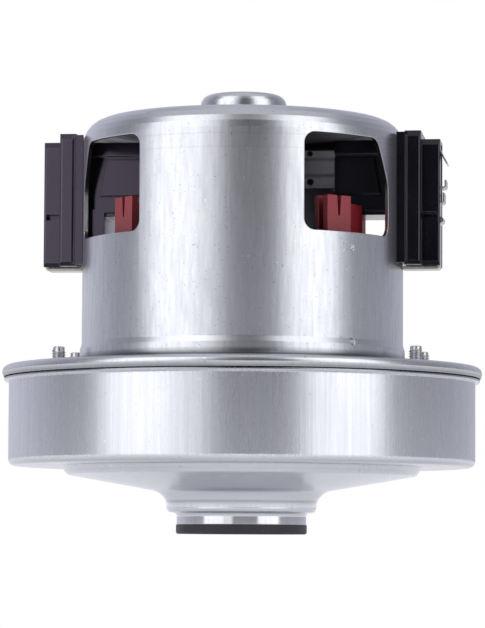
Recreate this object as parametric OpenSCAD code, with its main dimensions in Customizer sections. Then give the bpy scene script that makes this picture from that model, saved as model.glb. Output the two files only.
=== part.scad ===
// Vacuum motor unit: a brushed motor in a drawn can on a single stage suction fan.
// Lengths are millimetres. The shaft is on Z and the inlet seal's lower face is at z = 0.
// The front is towards -Y. The carbon brushes lie on the X axis.

/* [Inlet seal and neck] */
// Height of the seal that shows below the neck
seal_h = 2.6; // [2:0.2:4]
// Outer diameter of the seal
seal_d = 36.8; // [36.6:0.1:40]
// Outer diameter of the inlet neck
neck_d = 36.4; // [34:0.2:36.4]
// Length of the neck above the seal
neck_h = 3.2; // [2.6:0.1:6]
// Height of the slope between neck and collar
shoulder_h = 0.4; // [0.2:0.1:1]
// Bend radius at each end of that slope
shoulder_r = 1; // [1:0.1:1.2]

/* [Fan cover] */
// Sheet of the fan cover
cover_wall = 0.9; // [0.6:0.1:1]
// Outer diameter of the collar above the neck
collar_d = 42; // [41:0.5:45]
// Straight height of the collar
collar_h = 0.1; // [0.1:0.1:3]
// Radius that sweeps the collar into the cone
sweep_r = 5; // [3:0.5:7]
// Rise of the cone, in degrees
cone_angle = 10; // [7:1:13]
// Outer diameter of the cone
cone_d = 98.2; // [92:0.2:100]
// Height of the step between cone and floor
step_h = 2.4; // [2:0.1:4]
// Width of that step
step_w = 1.7; // [1:0.1:3]
// Height of the wall from the floor to the rim bead
bell_h = 23.6; // [22.6:0.2:30]
// Radius of the corner between floor and wall
floor_r = 1.8; // [1.2:0.1:3]

/* [Rim] */
// Outer diameter of the rim, which is the largest of the unit
rim_d = 135; // [133:0.5:140]
// Height of the rim from the bead's underside to the flange's top
rim_h = 4.4; // [4:0.1:6]
// How far the lip leans in at its lower end
lip_draw = 0.4; // [0.2:0.1:0.8]
// Gap between the lip and the cover's wall
rim_fit = 0.3; // [0.2:0.1:0.6]
// Height of the bead that is rolled round the cover's rim
bead_h = 1.1; // [0.8:0.1:1.4]
// How far the cover's wall steps in above the bead
seat_step = 1.2; // [1:0.1:1.5]
// Outer bend radius of the lip
lip_r = 1.8; // [1.6:0.1:2.2]

/* [Motor can] */
// Sheet of the motor can
can_wall = 1.2; // [0.8:0.1:1.4]
// Outer diameter of the can
can_d = 90.6; // [89.6:0.2:92]
// Height of the can from the flange's top to its own top
can_h = 69.5; // [69:0.5:76]
// Outer radius of the can's shoulder
can_shoulder_r = 6.7; // [4:0.1:7.5]
// Radius at the can's foot
foot_r = 2.8; // [2:0.1:4]
// How far the foot is wider than the can, each side
foot_flare = 0.6; // [0.2:0.1:1]
// Height of the flared foot
foot_h = 6.2; // [5:0.1:8]
// Height of the bearing cup above the can's top
cup_h = 7.7; // [7.5:0.1:9]
// Outer radius of the cup's upper edge
cup_edge_r = 3; // [2:0.1:3]
// Radius at the cup's foot
cup_foot_r = 1.5; // [1:0.1:2]

/* [Cooling windows] */
// Where a window starts, in degrees from the front or rear
window_from = 30; // [24:1:34]
// Where a window ends, in degrees from the front or rear
window_to = 71; // [66:1:72]
// Turn of all windows against the brushes, in degrees
window_turn = -1.6; // [-3:0.2:3]
// How many degrees the outer edge leans in at the top
window_lean = 8; // [4:1:12]
// Height of the windows' lower edge above the flange
window_z = 35.2; // [34:0.2:37]
// Height of the windows
window_h = 26.8; // [22:0.2:27]
// Corner radius of the windows
window_r = 3; // [2:0.5:5]

/* [Bearings and shaft] */
// Shaft diameter, which is also the bearings' bore
shaft_d = 8; // [7.6:0.1:8.4]
// Outer diameter of the bearings
bearing_d = 22; // [21:0.5:24]
// Width of the bearings
bearing_w = 7; // [6:0.5:7]
// Diameter of the balls
ball_d = 3.9; // [3.6:0.1:4]
// Balls in each bearing
ball_count = 7; // [6:1:8]
// Gap between ball and race
race_gap = 0.08; // [0.06:0.02:0.12]
// Height of the spring washer above the upper bearing
washer_h = 1.9; // [1.9:0.1:2.2]

/* [Stator] */
// Height of the stack's lower end above the flange
stack_z = 6.4; // [6.2:0.1:7]
// Height of the stator and armature stacks
stack_h = 24; // [20:0.5:24.5]
// Diameter of the stator's bore
bore_d = 44.8; // [43.6:0.2:46]
// Thickness of the pole shoes
shoe_t = 4; // [3:0.2:4.2]
// Outer radius of the coil slots
slot_r = 36; // [35.4:0.1:37]
// Width of a pole's neck
pole_w = 24; // [20:0.5:25]
// Half angle of a pole shoe, in degrees
shoe_angle = 62; // [58:1:66]
// Distance from the axis to the flats at the sides
side_flat = 38; // [37.4:0.2:40]
// Distance from the axis to the flats at front and rear
end_flat = 40; // [39:0.2:42]

/* [Field coils] */
// Half angle at which a coil's end turn ends, in degrees
coil_angle = 74; // [70:1:76]
// Height of the upper end turn
coil_top_h = 5.4; // [5:0.2:10]
// Height of the lower end turn
coil_foot_h = 4; // [2.5:0.1:4.2]
// Gap round a coil in its insulator
coil_gap = 0.1; // [0.05:0.05:0.2]
// Thickness of the insulator
liner_t = 0.7; // [0.5:0.1:0.9]
// Thickness of the insulator's end plates
plate_t = 1.2; // [0.8:0.1:1.4]
// Where the terminal pockets stand, in degrees from front or rear
pocket_angle = 47.5; // [46:0.5:54]
// Width of a terminal pocket
pocket_w = 8.5; // [7:0.5:9]
// Depth of a terminal pocket
pocket_t = 5.4; // [3:0.2:5.6]
// Height of a pocket above the stack
pocket_h = 15.3; // [12:0.1:16]
// How far the high wall beside a pocket stays below the pocket's top
wall_drop = 1.3; // [0.6:0.1:3]
// Depth of the notch in a pocket
notch_h = 5.6; // [3:0.2:7]
// Width of the notch
notch_w = 1.1; // [0.8:0.1:2]

/* [Armature and commutator] */
// Gap between armature and stator
air_gap = 0.5; // [0.4:0.1:0.8]
// Slots in the armature
armature_slots = 12; // [10:1:13]
// Depth of the armature slots
armature_slot_h = 10.6; // [8:0.2:11]
// Height of the winding above the stack
winding_top_h = 8.7; // [6:0.1:9]
// Height of the winding below the stack
winding_foot_h = 5; // [4:0.1:5.2]
// Diameter that the brushes run on
commutator_d = 25; // [23:0.2:26]
// Bars round the commutator
commutator_bars_n = 24; // [20:1:28]
// Distance from the running surface to the upper bearing
commutator_space = 5.2; // [4.6:0.1:7]
// Gap between two bars
bar_gap = 0.6; // [0.4:0.1:0.8]
// Height of the hooks that hold the wires
riser_h = 3; // [2:0.2:3.4]
// Height of the hub below the bars
hub_foot_h = 1; // [0.6:0.1:1.2]

/* [Brushes] */
// Height of the brushes' centre line above the middle of the holders
brush_rise = 2.9; // [1:0.1:3.5]
// Width of a carbon brush
brush_w = 6.3; // [5:0.1:8]
// Height of a carbon brush
brush_h = 9.3; // [8:0.1:11]
// Length of a new carbon brush
brush_l = 23; // [20:0.5:25]
// Gap between a new brush and the commutator
brush_gap = 0.3; // [0.3:0.1:0.6]
// Gap between brush and tube on each side
brush_fit = 0.1; // [0.1:0.05:0.2]
// Wall of the brush tube
tube_wall = 0.6; // [0.5:0.1:0.8]
// Turns of a brush spring
spring_turns = 6; // [4:1:8]
// Wire of a brush spring
spring_wire = 0.7; // [0.5:0.1:0.8]

/* [Brush holders] */
// Height of the middle of the holders above the flange
holder_z = 52.7; // [52:0.1:53.5]
// Distance from the axis to the holder's inner end
holder_in = 26.8; // [22:0.2:28]
// Distance from the axis to the back of the cover plate
plate_in = 46.4; // [46.4:0.1:47.5]
// Distance from the axis to the front of the cover plate
plate_out = 51; // [50.9:0.1:53]
// Distance from the axis to the connector block's face
block_out = 56.1; // [54.5:0.1:57]
// Half width of the body inside the can
body_half_w = 9; // [7.5:0.5:9.5]
// Half height of the body inside the can
body_half_h = 10.4; // [9.6:0.1:10.5]
// Distance from the axis to the left holder's leg inside the can
leg_in = 38.2; // [38.1:0.1:40]
// Length of that leg below the body
leg_h = 10.6; // [6:0.2:11]
// Half width of the cover plate
plate_half_w = 10.4; // [9.8:0.2:12]
// Height of the cover plate above the holder's middle
plate_up = 13; // [12:0.2:15]
// Height of the cover plate below the holder's middle
plate_down = 24.4; // [21:0.2:24.6]
// Half width of the connector block
block_half_w = 6.5; // [5.6:0.1:8]
// How far the block's top is below the plate's top
block_drop = 2; // [1:0.2:4]
// Height of the slit across the block
slit_h = 1.7; // [1:0.1:2.4]
// Height of that slit's centre below the holder's middle
slit_down = 10.4; // [8:0.2:12]
// Height of the bevel on the upper ends of plate and block
bevel_h = 1.7; // [1:0.1:2]
// Depth of the channel for the terminal in the block's face
channel_t = 1; // [0.8:0.1:1.4]
// Sheet of the brush terminals
terminal_t = 0.8; // [0.6:0.1:1]
// Width of the brush terminals
terminal_w = 6.3; // [4.8:0.1:8]

/* [Fan] */
// Outer diameter of the impeller
impeller_d = 108; // [104:0.5:109]
// Inner diameter of the impeller's eye
eye_d = 37; // [34:0.5:38]
// Sheet of the impeller
fan_sheet = 0.9; // [0.7:0.1:1]
// Gap between impeller and diffuser
fan_gap = 1; // [0.6:0.1:1.4]
// Height between the two discs at the outer edge
fan_outlet_h = 6.6; // [5:0.2:7.2]
// Rise of the front disc, in degrees
fan_cone = 8.8; // [6:0.2:9]
// Vanes of the impeller
fan_vanes = 9; // [7:1:12]
// Turn of a vane from its inner to its outer end, in degrees
fan_sweep = 62; // [40:1:70]
// Plate of the diffuser
diffuser_plate = 1.4; // [1:0.1:2]
// Guide vanes round the impeller
guide_vanes = 16; // [12:1:18]
// Return vanes above the plate
return_vanes = 10; // [8:1:12]
// Depth of the return channels
return_h = 11; // [10.6:0.1:12]

/* [Screws] */
// Thread diameter of the bracket screws
screw_d = 4; // [3:0.5:4]
// Distance of the screws from the axis
screw_r = 51.9; // [51:0.1:53]
// Angle of the screws from the brush axis, in degrees
screw_angle = 15.6; // [14:0.2:18]
// Height of the thread that stands above the flange
screw_out = 5.2; // [3:0.2:7]

/* [Hidden] */
$fn = 96;

// Small gaps that several pieces share
eps = 0.01;
touch_gap = 0.1;
running_gap = 0.3;

// Radii
rim_r = rim_d / 2;
bell_r = rim_r - can_wall - lip_draw - rim_fit;
neck_r = neck_d / 2;
collar_r = collar_d / 2;
cone_r = cone_d / 2;
can_r = can_d / 2;
can_in_r = can_r - can_wall;
foot_out_r = can_r + foot_flare;
cup_r = bearing_d / 2 + can_wall;
shaft_r = shaft_d / 2;
bore_r = bore_d / 2;
armature_r = bore_r - air_gap;
commutator_r = commutator_d / 2;
fan_r = impeller_d / 2;
bracket_t = can_wall;
seat_r = bell_r - seat_step;
bracket_r = seat_r;

// Heights of the fan cover, from the seal upwards
shoulder_z = seal_h + neck_h;
collar_z = shoulder_z + shoulder_h;
collar_top_z = collar_z + shoulder_r + collar_h + sweep_r * tan((90 - cone_angle) / 2);
cone_top_z = collar_top_z + (cone_r - collar_r) * tan(cone_angle);
floor_z = cone_top_z + step_h;
rim_z = floor_z + bell_h;
flange_z = rim_z + rim_h;

// Heights of the motor, all from the flange
flange_low_z = flange_z - can_wall;
bracket_low_z = flange_low_z - bracket_t;
can_top_z = flange_z + can_h;
cup_top_z = can_top_z + cup_h;
stack_low_z = flange_z + stack_z;
stack_top_z = stack_low_z + stack_h;
holder_mid_z = flange_z + holder_z;
brush_mid_z = holder_mid_z + brush_rise;
upper_bearing_z = cup_top_z - can_wall - washer_h - bearing_w;
lower_bearing_z = bracket_low_z - bearing_w;

// Heights of the fan, downwards from the bracket
diffuser_top_z = bracket_low_z - return_h;
diffuser_low_z = diffuser_top_z - diffuser_plate;
back_disc_top_z = diffuser_low_z - fan_gap;
back_disc_low_z = back_disc_top_z - fan_sheet;
front_disc_out_z = back_disc_low_z - fan_outlet_h;
eye_r = eye_d / 2;
front_disc_in_z = front_disc_out_z - (fan_r - eye_r) * tan(fan_cone);

// Bearing rings
ball_r = ball_d / 2;
pitch_r = (bearing_d + shaft_d) / 4;
race_r = ball_r + race_gap;
ring_gap = ball_r * 0.5;
inner_ring_r = pitch_r - ring_gap;
outer_ring_r = pitch_r + ring_gap;

// Shaft stack
washer_t = 1.5;
nut_h = 6.5;
nut_w = 13;
spacer_r = 6.2;
cup_hole_r = spacer_r + 0.8;
nut_top_z = back_disc_low_z - washer_t;
shaft_low_z = nut_top_z - nut_h - 1.6;
shaft_top_z = upper_bearing_z + bearing_w - 0.4;
hub_r = 8.5;
hub_z = stack_top_z + winding_top_h + 1.3;
bars_z = hub_z + hub_foot_h;
commutator_top_z = upper_bearing_z - commutator_space;
sleeve_r = 5.4;
fibre_t = 0.8;

// Brush line
brush_in_x = commutator_r + brush_gap;
brush_back_x = brush_in_x + brush_l;
tube_half_w = brush_w / 2 + brush_fit + tube_wall;
tube_half_h = brush_h / 2 + brush_fit + tube_wall;
tube_in_x = commutator_r + 2.3;
tube_out_x = plate_out - touch_gap;
spring_r = min(brush_w, brush_h) / 2 - 0.15;
plate_top_z = holder_mid_z + plate_up;
plate_low_z = holder_mid_z - plate_down;
block_top_z = plate_top_z - block_drop;

// Coil and insulator round one pole
coil_in_r = bore_r + shoe_t + liner_t + coil_gap;
coil_out_r = slot_r - liner_t - coil_gap - 0.4;
coil_inner_angle = asin(pole_w / 2 / coil_in_r) + 3;
end_plate_top_z = stack_top_z + plate_t;
end_plate_low_z = stack_low_z - plate_t;
liner_out_r = coil_out_r + liner_t + coil_gap;
pocket_in_r = sqrt(pow(liner_out_r, 2) - pow(pocket_w / 2, 2)) - liner_t * 0.3;

// Vector helpers for the bent profiles
function unit(v) = v / norm(v);
function left_of(v) = [-v.y, v.x];
function flat(p) = [p.x, p.y];

// The arc of radius r that rounds the corner at b between a and c
function corner(a, b, c, r, n = 6) =
    let (
        u = unit(a - b),
        v = unit(c - b),
        half = acos(u * v) / 2,
        centre = b + unit(u + v) * (r / sin(half)),
        from = b + u * (r / tan(half)) - centre,
        to = b + v * (r / tan(half)) - centre,
        start = atan2(from.y, from.x),
        turn = (180 - 2 * half) * sign(cross(from, to))
    )
    [for (i = [0 : n]) centre + r * [cos(start + turn * i / n), sin(start + turn * i / n)]];

// An open path of [x, y, bend radius] points with its corners rounded
function bent(p, n = 6) =
    [for (i = [0 : len(p) - 1])
        each (i == 0 || i == len(p) - 1 || p[i].z == 0)
            ? [flat(p[i])]
            : corner(flat(p[i - 1]), flat(p[i]), flat(p[i + 1]), p[i].z, n)];

// The same for a closed outline
function rounded(p, n = 6) =
    [for (i = [0 : len(p) - 1])
        let (before = p[(i + len(p) - 1) % len(p)], after = p[(i + 1) % len(p)])
        each p[i].z == 0 ? [flat(p[i])] : corner(flat(before), flat(p[i]), flat(after), p[i].z, n)];

// A path moved to its left by t
function beside(p, t) =
    [for (i = [0 : len(p) - 1])
        let (
            a = left_of(unit(p[max(i, 1)] - p[max(i, 1) - 1])),
            b = left_of(unit(p[min(i, len(p) - 2) + 1] - p[min(i, len(p) - 2)]))
        )
        p[i] + (a + b) * (t / (1 + a * b))];

// The outline of a sheet of thickness t that lies on the left of a path
function sheet(p, t) =
    let (q = beside(p, t))
    concat(p, [for (i = [len(q) - 1 : -1 : 0]) q[i]]);

// A curved blade outline from radius r1 to r2 that turns by sweep degrees
function blade(r1, r2, sweep, t, n = 7) =
    sheet([for (i = [0 : n])
        let (r = r1 + (r2 - r1) * i / n, a = sweep * (1 - pow(1 - i / n, 1.3)))
        r * [cos(a), sin(a)]], t);

// A block between two radii and two angles
module arc_block(r1, r2, from, to, h) {
    rotate([0, 0, from])
        rotate_extrude(angle = to - from)
            translate([r1, 0])
                square([r2 - r1, h]);
}

// The two blocks beside the front pole, between angles a1 and a2 from its middle
module pole_sides(r1, r2, a1, a2, h) {
    arc_block(r1, r2, a1 - 90, a2 - 90, h);
    arc_block(r1, r2, -a2 - 90, -a1 - 90, h);
}

// A block across the whole front pole, a degrees to each side
module pole_span(r1, r2, a, h) {
    arc_block(r1, r2, -90 - a, a - 90, h);
}

// Copies at the given angles
module at_angles(list) {
    for (a = list) rotate([0, 0, a]) children();
}

// Even copies round the axis
module around(n) {
    for (i = [0 : n - 1]) rotate([0, 0, 360 * i / n]) children();
}

// The piece and its twin on the other side of the YZ plane
module left_side() {
    mirror([1, 0, 0]) children();
}

// The rear twin of a front piece
module rear_side() {
    rotate([0, 0, 180]) children();
}

// The angles of the four bracket screws
screw_angles = [screw_angle, 180 - screw_angle, 180 + screw_angle, 360 - screw_angle];

// One straight tool for a cooling window right of the front, in the can's own place
module window_tool() {
    mid = (window_from + window_to) / 2;
    half = can_r * sin((window_to - window_from) / 2);
    lean = can_r * sin((window_to - window_from) / 2 - window_lean);
    outline = rounded([
        [-half, 0, window_r],
        [half, 0, window_r],
        [half, window_h * 0.53, window_h * 0.4],
        [lean, window_h, window_r * 1.4],
        [-half, window_h, window_r]
    ]);
    rotate([0, 0, mid - 90])
        translate([can_r / 2, 0, flange_z + window_z])
            rotate([90, 0, 90])
                linear_extrude(can_r)
                    polygon(outline);
}

// The four windows: a pair at the front and its turned twin at the rear
module windows() {
    for (a = [0, 180])
        rotate([0, 0, a + window_turn]) {
            window_tool();
            left_side() window_tool();
        }
}

module motor_can() {
    profile = bent([
        [rim_r - lip_draw, rim_z + bead_h + touch_gap, 0],
        [rim_r, flange_z - lip_r - touch_gap, 0],
        [rim_r, flange_z, lip_r],
        [foot_out_r, flange_z, foot_r],
        [foot_out_r - 0.1, flange_z + foot_h - 1.5, 0],
        [can_r, flange_z + foot_h, 0],
        [can_r, can_top_z, can_shoulder_r],
        [cup_r, can_top_z, cup_foot_r],
        [cup_r, cup_top_z, cup_edge_r],
        [0, cup_top_z, 0]
    ]);
    color("silver")
        difference() {
            rotate_extrude() polygon(sheet(profile, can_wall));
            windows();
            // Openings for the brush holders
            for (s = [-1, 1])
                translate([s * can_r, 0, holder_mid_z])
                    cube([can_r / 2, 2 * (body_half_w + touch_gap), 2 * (body_half_h + touch_gap)],
                        center = true);
            // Threaded holes for the bracket screws
            at_angles(screw_angles)
                translate([screw_r, 0, flange_low_z - 1])
                    cylinder(d = screw_d + touch_gap, h = can_wall + 2);
            // Stakes that hold the stator
            for (a = [-42, 138], z = [stack_low_z - 0.8, stack_top_z + 0.6])
                rotate([0, 0, a])
                    translate([can_r - 0.5, 0, z])
                        rotate([0, 90, 0])
                            cylinder(d1 = 0.8, d2 = 2.4, h = 1);
        }
}

module fan_cover() {
    path = bent([
        [neck_r, seal_h, 0],
        [neck_r, shoulder_z, shoulder_r],
        [collar_r, collar_z, shoulder_r],
        [collar_r, collar_top_z, sweep_r],
        [cone_r, cone_top_z, 1.2],
        [cone_r + step_w, floor_z, 1],
        [bell_r, floor_z, floor_r],
        [bell_r, rim_z + bead_h * 0.3, 0],
        [seat_r, rim_z + bead_h, 0],
        [seat_r, bracket_low_z, 0]
    ], 8);
    bead = rounded([
        [bell_r - cover_wall * 0.6, rim_z, 0],
        [rim_r - 0.6, rim_z, 0.5],
        [rim_r - 0.6, rim_z + bead_h, 0.4],
        [seat_r - cover_wall * 0.4, rim_z + bead_h, 0]
    ]);
    color("lightsteelblue")
        rotate_extrude() {
            polygon(sheet(path, cover_wall));
            polygon(bead);
        }
}

module inlet_seal() {
    lip_h = 2.4;
    lip_w = 1.1;
    inner_r = neck_r - cover_wall;
    color([0.08, 0.08, 0.09])
        rotate_extrude()
            polygon(rounded([
                [inner_r - lip_w, 0, 0.5],
                [seal_d / 2, 0, 0.6],
                [seal_d / 2, seal_h, 0],
                [inner_r, seal_h, 0],
                [inner_r, seal_h + lip_h, 0],
                [inner_r - lip_w, seal_h + lip_h, 0.4]
            ]));
}

module end_bracket() {
    path = bent([
        [bracket_r, flange_low_z, 0],
        [bearing_d / 2, flange_low_z, bracket_t + 0.2],
        [bearing_d / 2, lower_bearing_z, 0],
        [cup_hole_r, lower_bearing_z, 0]
    ]);
    openings = 4;
    opening_span = 66;
    color("gainsboro")
        difference() {
            rotate_extrude() polygon(sheet(path, bracket_t));
            // Air openings under the motor
            around(openings)
                translate([0, 0, bracket_low_z - 1])
                    arc_block(bearing_d / 2 + 6, can_in_r - 3, -opening_span / 2, opening_span / 2,
                        bracket_t + 2);
            at_angles(screw_angles)
                translate([screw_r, 0, bracket_low_z - 1])
                    cylinder(d = screw_d + touch_gap, h = bracket_t + 2);
        }
}

module diffuser() {
    plate_r = bell_r - cover_wall - 2.3;
    vane_out_r = bell_r - cover_wall - running_gap;
    vane_in_r = fan_r + 1.4;
    guide_low_z = floor_z + cover_wall + running_gap;
    hub_in_r = cup_r + 0.5;
    boss_r = screw_d + 1;
    root = diffuser_plate * 0.4;
    color([0.2, 0.2, 0.22])
        difference() {
            union() {
                translate([0, 0, diffuser_low_z])
                    cylinder(r = plate_r, h = diffuser_plate);
                // Guide vanes that slow the air round the impeller
                around(guide_vanes)
                    translate([0, 0, guide_low_z])
                        linear_extrude(diffuser_top_z - root - guide_low_z)
                            polygon(blade(vane_in_r, vane_out_r, 15, 1.1, 4));
                // Return vanes that lead it in to the motor
                around(return_vanes)
                    translate([0, 0, diffuser_top_z - root])
                        linear_extrude(return_h + root)
                            polygon(blade(hub_in_r + 3, plate_r - 1, -70, 1.3));
                translate([0, 0, diffuser_top_z - root])
                    cylinder(r = hub_in_r + 1.5, h = return_h - 1);
                at_angles(screw_angles)
                    translate([screw_r, 0, diffuser_low_z + root])
                        cylinder(r = boss_r, h = diffuser_plate + return_h - root - 0.2);
            }
            // Seat of the bearing cup, and the hole for the spacer below it
            translate([0, 0, lower_bearing_z - bracket_t])
                cylinder(r = hub_in_r, h = return_h + bearing_w);
            translate([0, 0, diffuser_low_z - 1])
                cylinder(r = spacer_r + 1, h = return_h);
            at_angles(screw_angles)
                translate([screw_r, 0, diffuser_low_z - eps]) {
                    cylinder(d = screw_d + touch_gap, h = diffuser_plate + return_h + 1);
                    cylinder(d1 = screw_d * 2 + touch_gap, d2 = screw_d + touch_gap,
                        h = screw_d / 2 + touch_gap / 2);
                }
        }
}

module bracket_screws() {
    color("silver")
        at_angles(screw_angles)
            translate([screw_r, 0, diffuser_low_z + touch_gap])
                difference() {
                    union() {
                        cylinder(d1 = screw_d * 2 - 0.4, d2 = screw_d, h = screw_d / 2 - 0.2);
                        cylinder(d = screw_d, h = flange_z + screw_out - 0.5 - diffuser_low_z - touch_gap);
                        translate([0, 0, flange_z + screw_out - 0.5 - diffuser_low_z - touch_gap])
                            cylinder(d1 = screw_d, d2 = screw_d - 1, h = 0.5);
                    }
                    // Cross recess
                    for (a = [0, 90])
                        rotate([0, 0, a])
                            cube([screw_d * 0.9, screw_d * 0.22, 2.4], center = true);
                }
}

module stator_core() {
    slot_from = asin(pole_w / 2 / (bore_r + shoe_t));
    color("dimgray")
        translate([0, 0, stack_low_z])
            difference() {
                intersection() {
                    cylinder(r = can_in_r, h = stack_h);
                    translate([-side_flat, -end_flat, 0])
                        cube([2 * side_flat, 2 * end_flat, stack_h]);
                }
                translate([0, 0, -1]) {
                    cylinder(r = bore_r, h = stack_h + 2);
                    // Coil slots at both sides, and the gaps between the pole shoes
                    for (s = [0, 180])
                        rotate([0, 0, s]) {
                            arc_block(bore_r + shoe_t, slot_r, slot_from - 90, 90 - slot_from, stack_h + 2);
                            arc_block(bore_r - 1, bore_r + shoe_t + 1, shoe_angle - 90, 90 - shoe_angle,
                                stack_h + 2);
                        }
                }
            }
}

// Front coil: an end turn at the top, one at the foot, and a side through each slot
module field_coil() {
    top_z = end_plate_top_z + coil_gap;
    foot_z = end_plate_low_z - coil_gap - coil_foot_h;
    side_inset = 0.3;
    top_turn = rounded([
        [coil_in_r, 0, 0],
        [coil_out_r, 0, 0],
        [coil_out_r, coil_top_h, 3],
        [coil_in_r, coil_top_h, 3]
    ]);
    color([0.62, 0.3, 0.14]) {
        translate([0, 0, top_z])
            rotate([0, 0, -90 - coil_angle])
                rotate_extrude(angle = 2 * coil_angle)
                    polygon(top_turn);
        translate([0, 0, foot_z])
            pole_span(coil_in_r, coil_out_r, coil_angle, coil_foot_h);
        translate([0, 0, foot_z + 1])
            pole_sides(coil_in_r + side_inset, coil_out_r - side_inset,
                coil_inner_angle, coil_angle - 1, top_z - foot_z);
    }
}

// One slotted pocket for a coil's end, against the insulator's outer wall
module terminal_pocket() {
    out_r = pocket_in_r + pocket_t;
    difference() {
        translate([pocket_in_r, -pocket_w / 2, stack_top_z + plate_t * 0.4])
            cube([pocket_t, pocket_w, pocket_h - plate_t * 0.4]);
        // Notch that opens towards its top
        translate([out_r + 1, 0, stack_top_z + pocket_h - notch_h])
            rotate([90, 0, -90])
                linear_extrude(pocket_t + 2)
                    polygon([
                        [-notch_w * 0.3, 0],
                        [notch_w * 0.3, 0],
                        [notch_w * 0.8, notch_h + 1],
                        [-notch_w * 0.8, notch_h + 1]
                    ]);
        // Chamber behind the front wall, open through a slot in each side
        translate([pocket_in_r + 1.2, -pocket_w / 2 + 1.2, stack_top_z + plate_t + 3])
            cube([pocket_t - 2.7, pocket_w - 2.4, pocket_h]);
        translate([pocket_in_r + 1.6, -pocket_w, stack_top_z + plate_t + 4.5])
            cube([pocket_t - 3.5, 2 * pocket_w, pocket_h]);
    }
}

// Front insulator: end plates, slot liners, the walls that hold the end turn, two pockets
module coil_insulator() {
    wall_angle = coil_angle - 14;
    plate_angle = coil_angle + 2;
    liner_angle = coil_angle + 1;
    liner_in_r = coil_in_r - liner_t - coil_gap;
    plate_edge = 0.25;
    wall_t = 1.1;
    wall_sink = 0.35;
    pocket_half_angle = asin((pocket_w / 2 - 1) / liner_out_r);
    color([0.62, 0.14, 0.13]) {
        difference() {
            union() {
                for (z = [stack_top_z, end_plate_low_z])
                    translate([0, 0, z])
                        pole_span(liner_in_r - plate_edge, liner_out_r + plate_edge, plate_angle, plate_t);
                translate([0, 0, end_plate_low_z + plate_t / 2])
                    pole_sides(liner_in_r + touch_gap, liner_out_r,
                        coil_inner_angle - 1.6, liner_angle, stack_h + plate_t);
            }
            translate([0, 0, end_plate_low_z - 1])
                pole_sides(coil_in_r - coil_gap, coil_out_r + coil_gap,
                    coil_inner_angle - 0.2, coil_angle + 0.2, stack_h + 2 * plate_t + 2);
        }
        translate([0, 0, end_plate_top_z - plate_t * 0.3]) {
            pole_span(coil_out_r + 2 * coil_gap, liner_out_r + coil_gap, wall_angle, coil_top_h * 0.6);
            pole_span(liner_in_r, liner_in_r + liner_t - coil_gap, wall_angle, coil_top_h * 0.8);
        }
        at_angles([-90 - pocket_angle, pocket_angle - 90])
            terminal_pocket();
        // High wall from the right pocket to the coil's end
        translate([0, 0, stack_top_z + plate_t * 0.4])
            arc_block(liner_out_r - wall_sink, liner_out_r - wall_sink + wall_t,
                pocket_angle + pocket_half_angle - 90, coil_angle - 91,
                pocket_h - wall_drop - plate_t * 0.4);
    }
}

// An upright plate or block from x1 to x2, its corners rounded and its ends bevelled
module bevelled_block(x1, x2, half_w, low_z, top_z, r) {
    bevel_w = bevel_h * 0.6;
    intersection() {
        translate([0, 0, low_z])
            linear_extrude(top_z - low_z)
                polygon(rounded([[x1, -half_w, r], [x2, -half_w, r], [x2, half_w, r], [x1, half_w, r]]));
        translate([x1 - 1, 0, 0])
            rotate([90, 0, 90])
                linear_extrude(x2 - x1 + 2)
                    polygon([
                        [-half_w, low_z + bevel_w],
                        [bevel_w - half_w, low_z],
                        [half_w - bevel_w, low_z],
                        [half_w, low_z + bevel_w],
                        [half_w, top_z - bevel_h],
                        [half_w - bevel_w, top_z],
                        [bevel_w - half_w, top_z],
                        [-half_w, top_z - bevel_h]
                    ]);
    }
}

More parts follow.
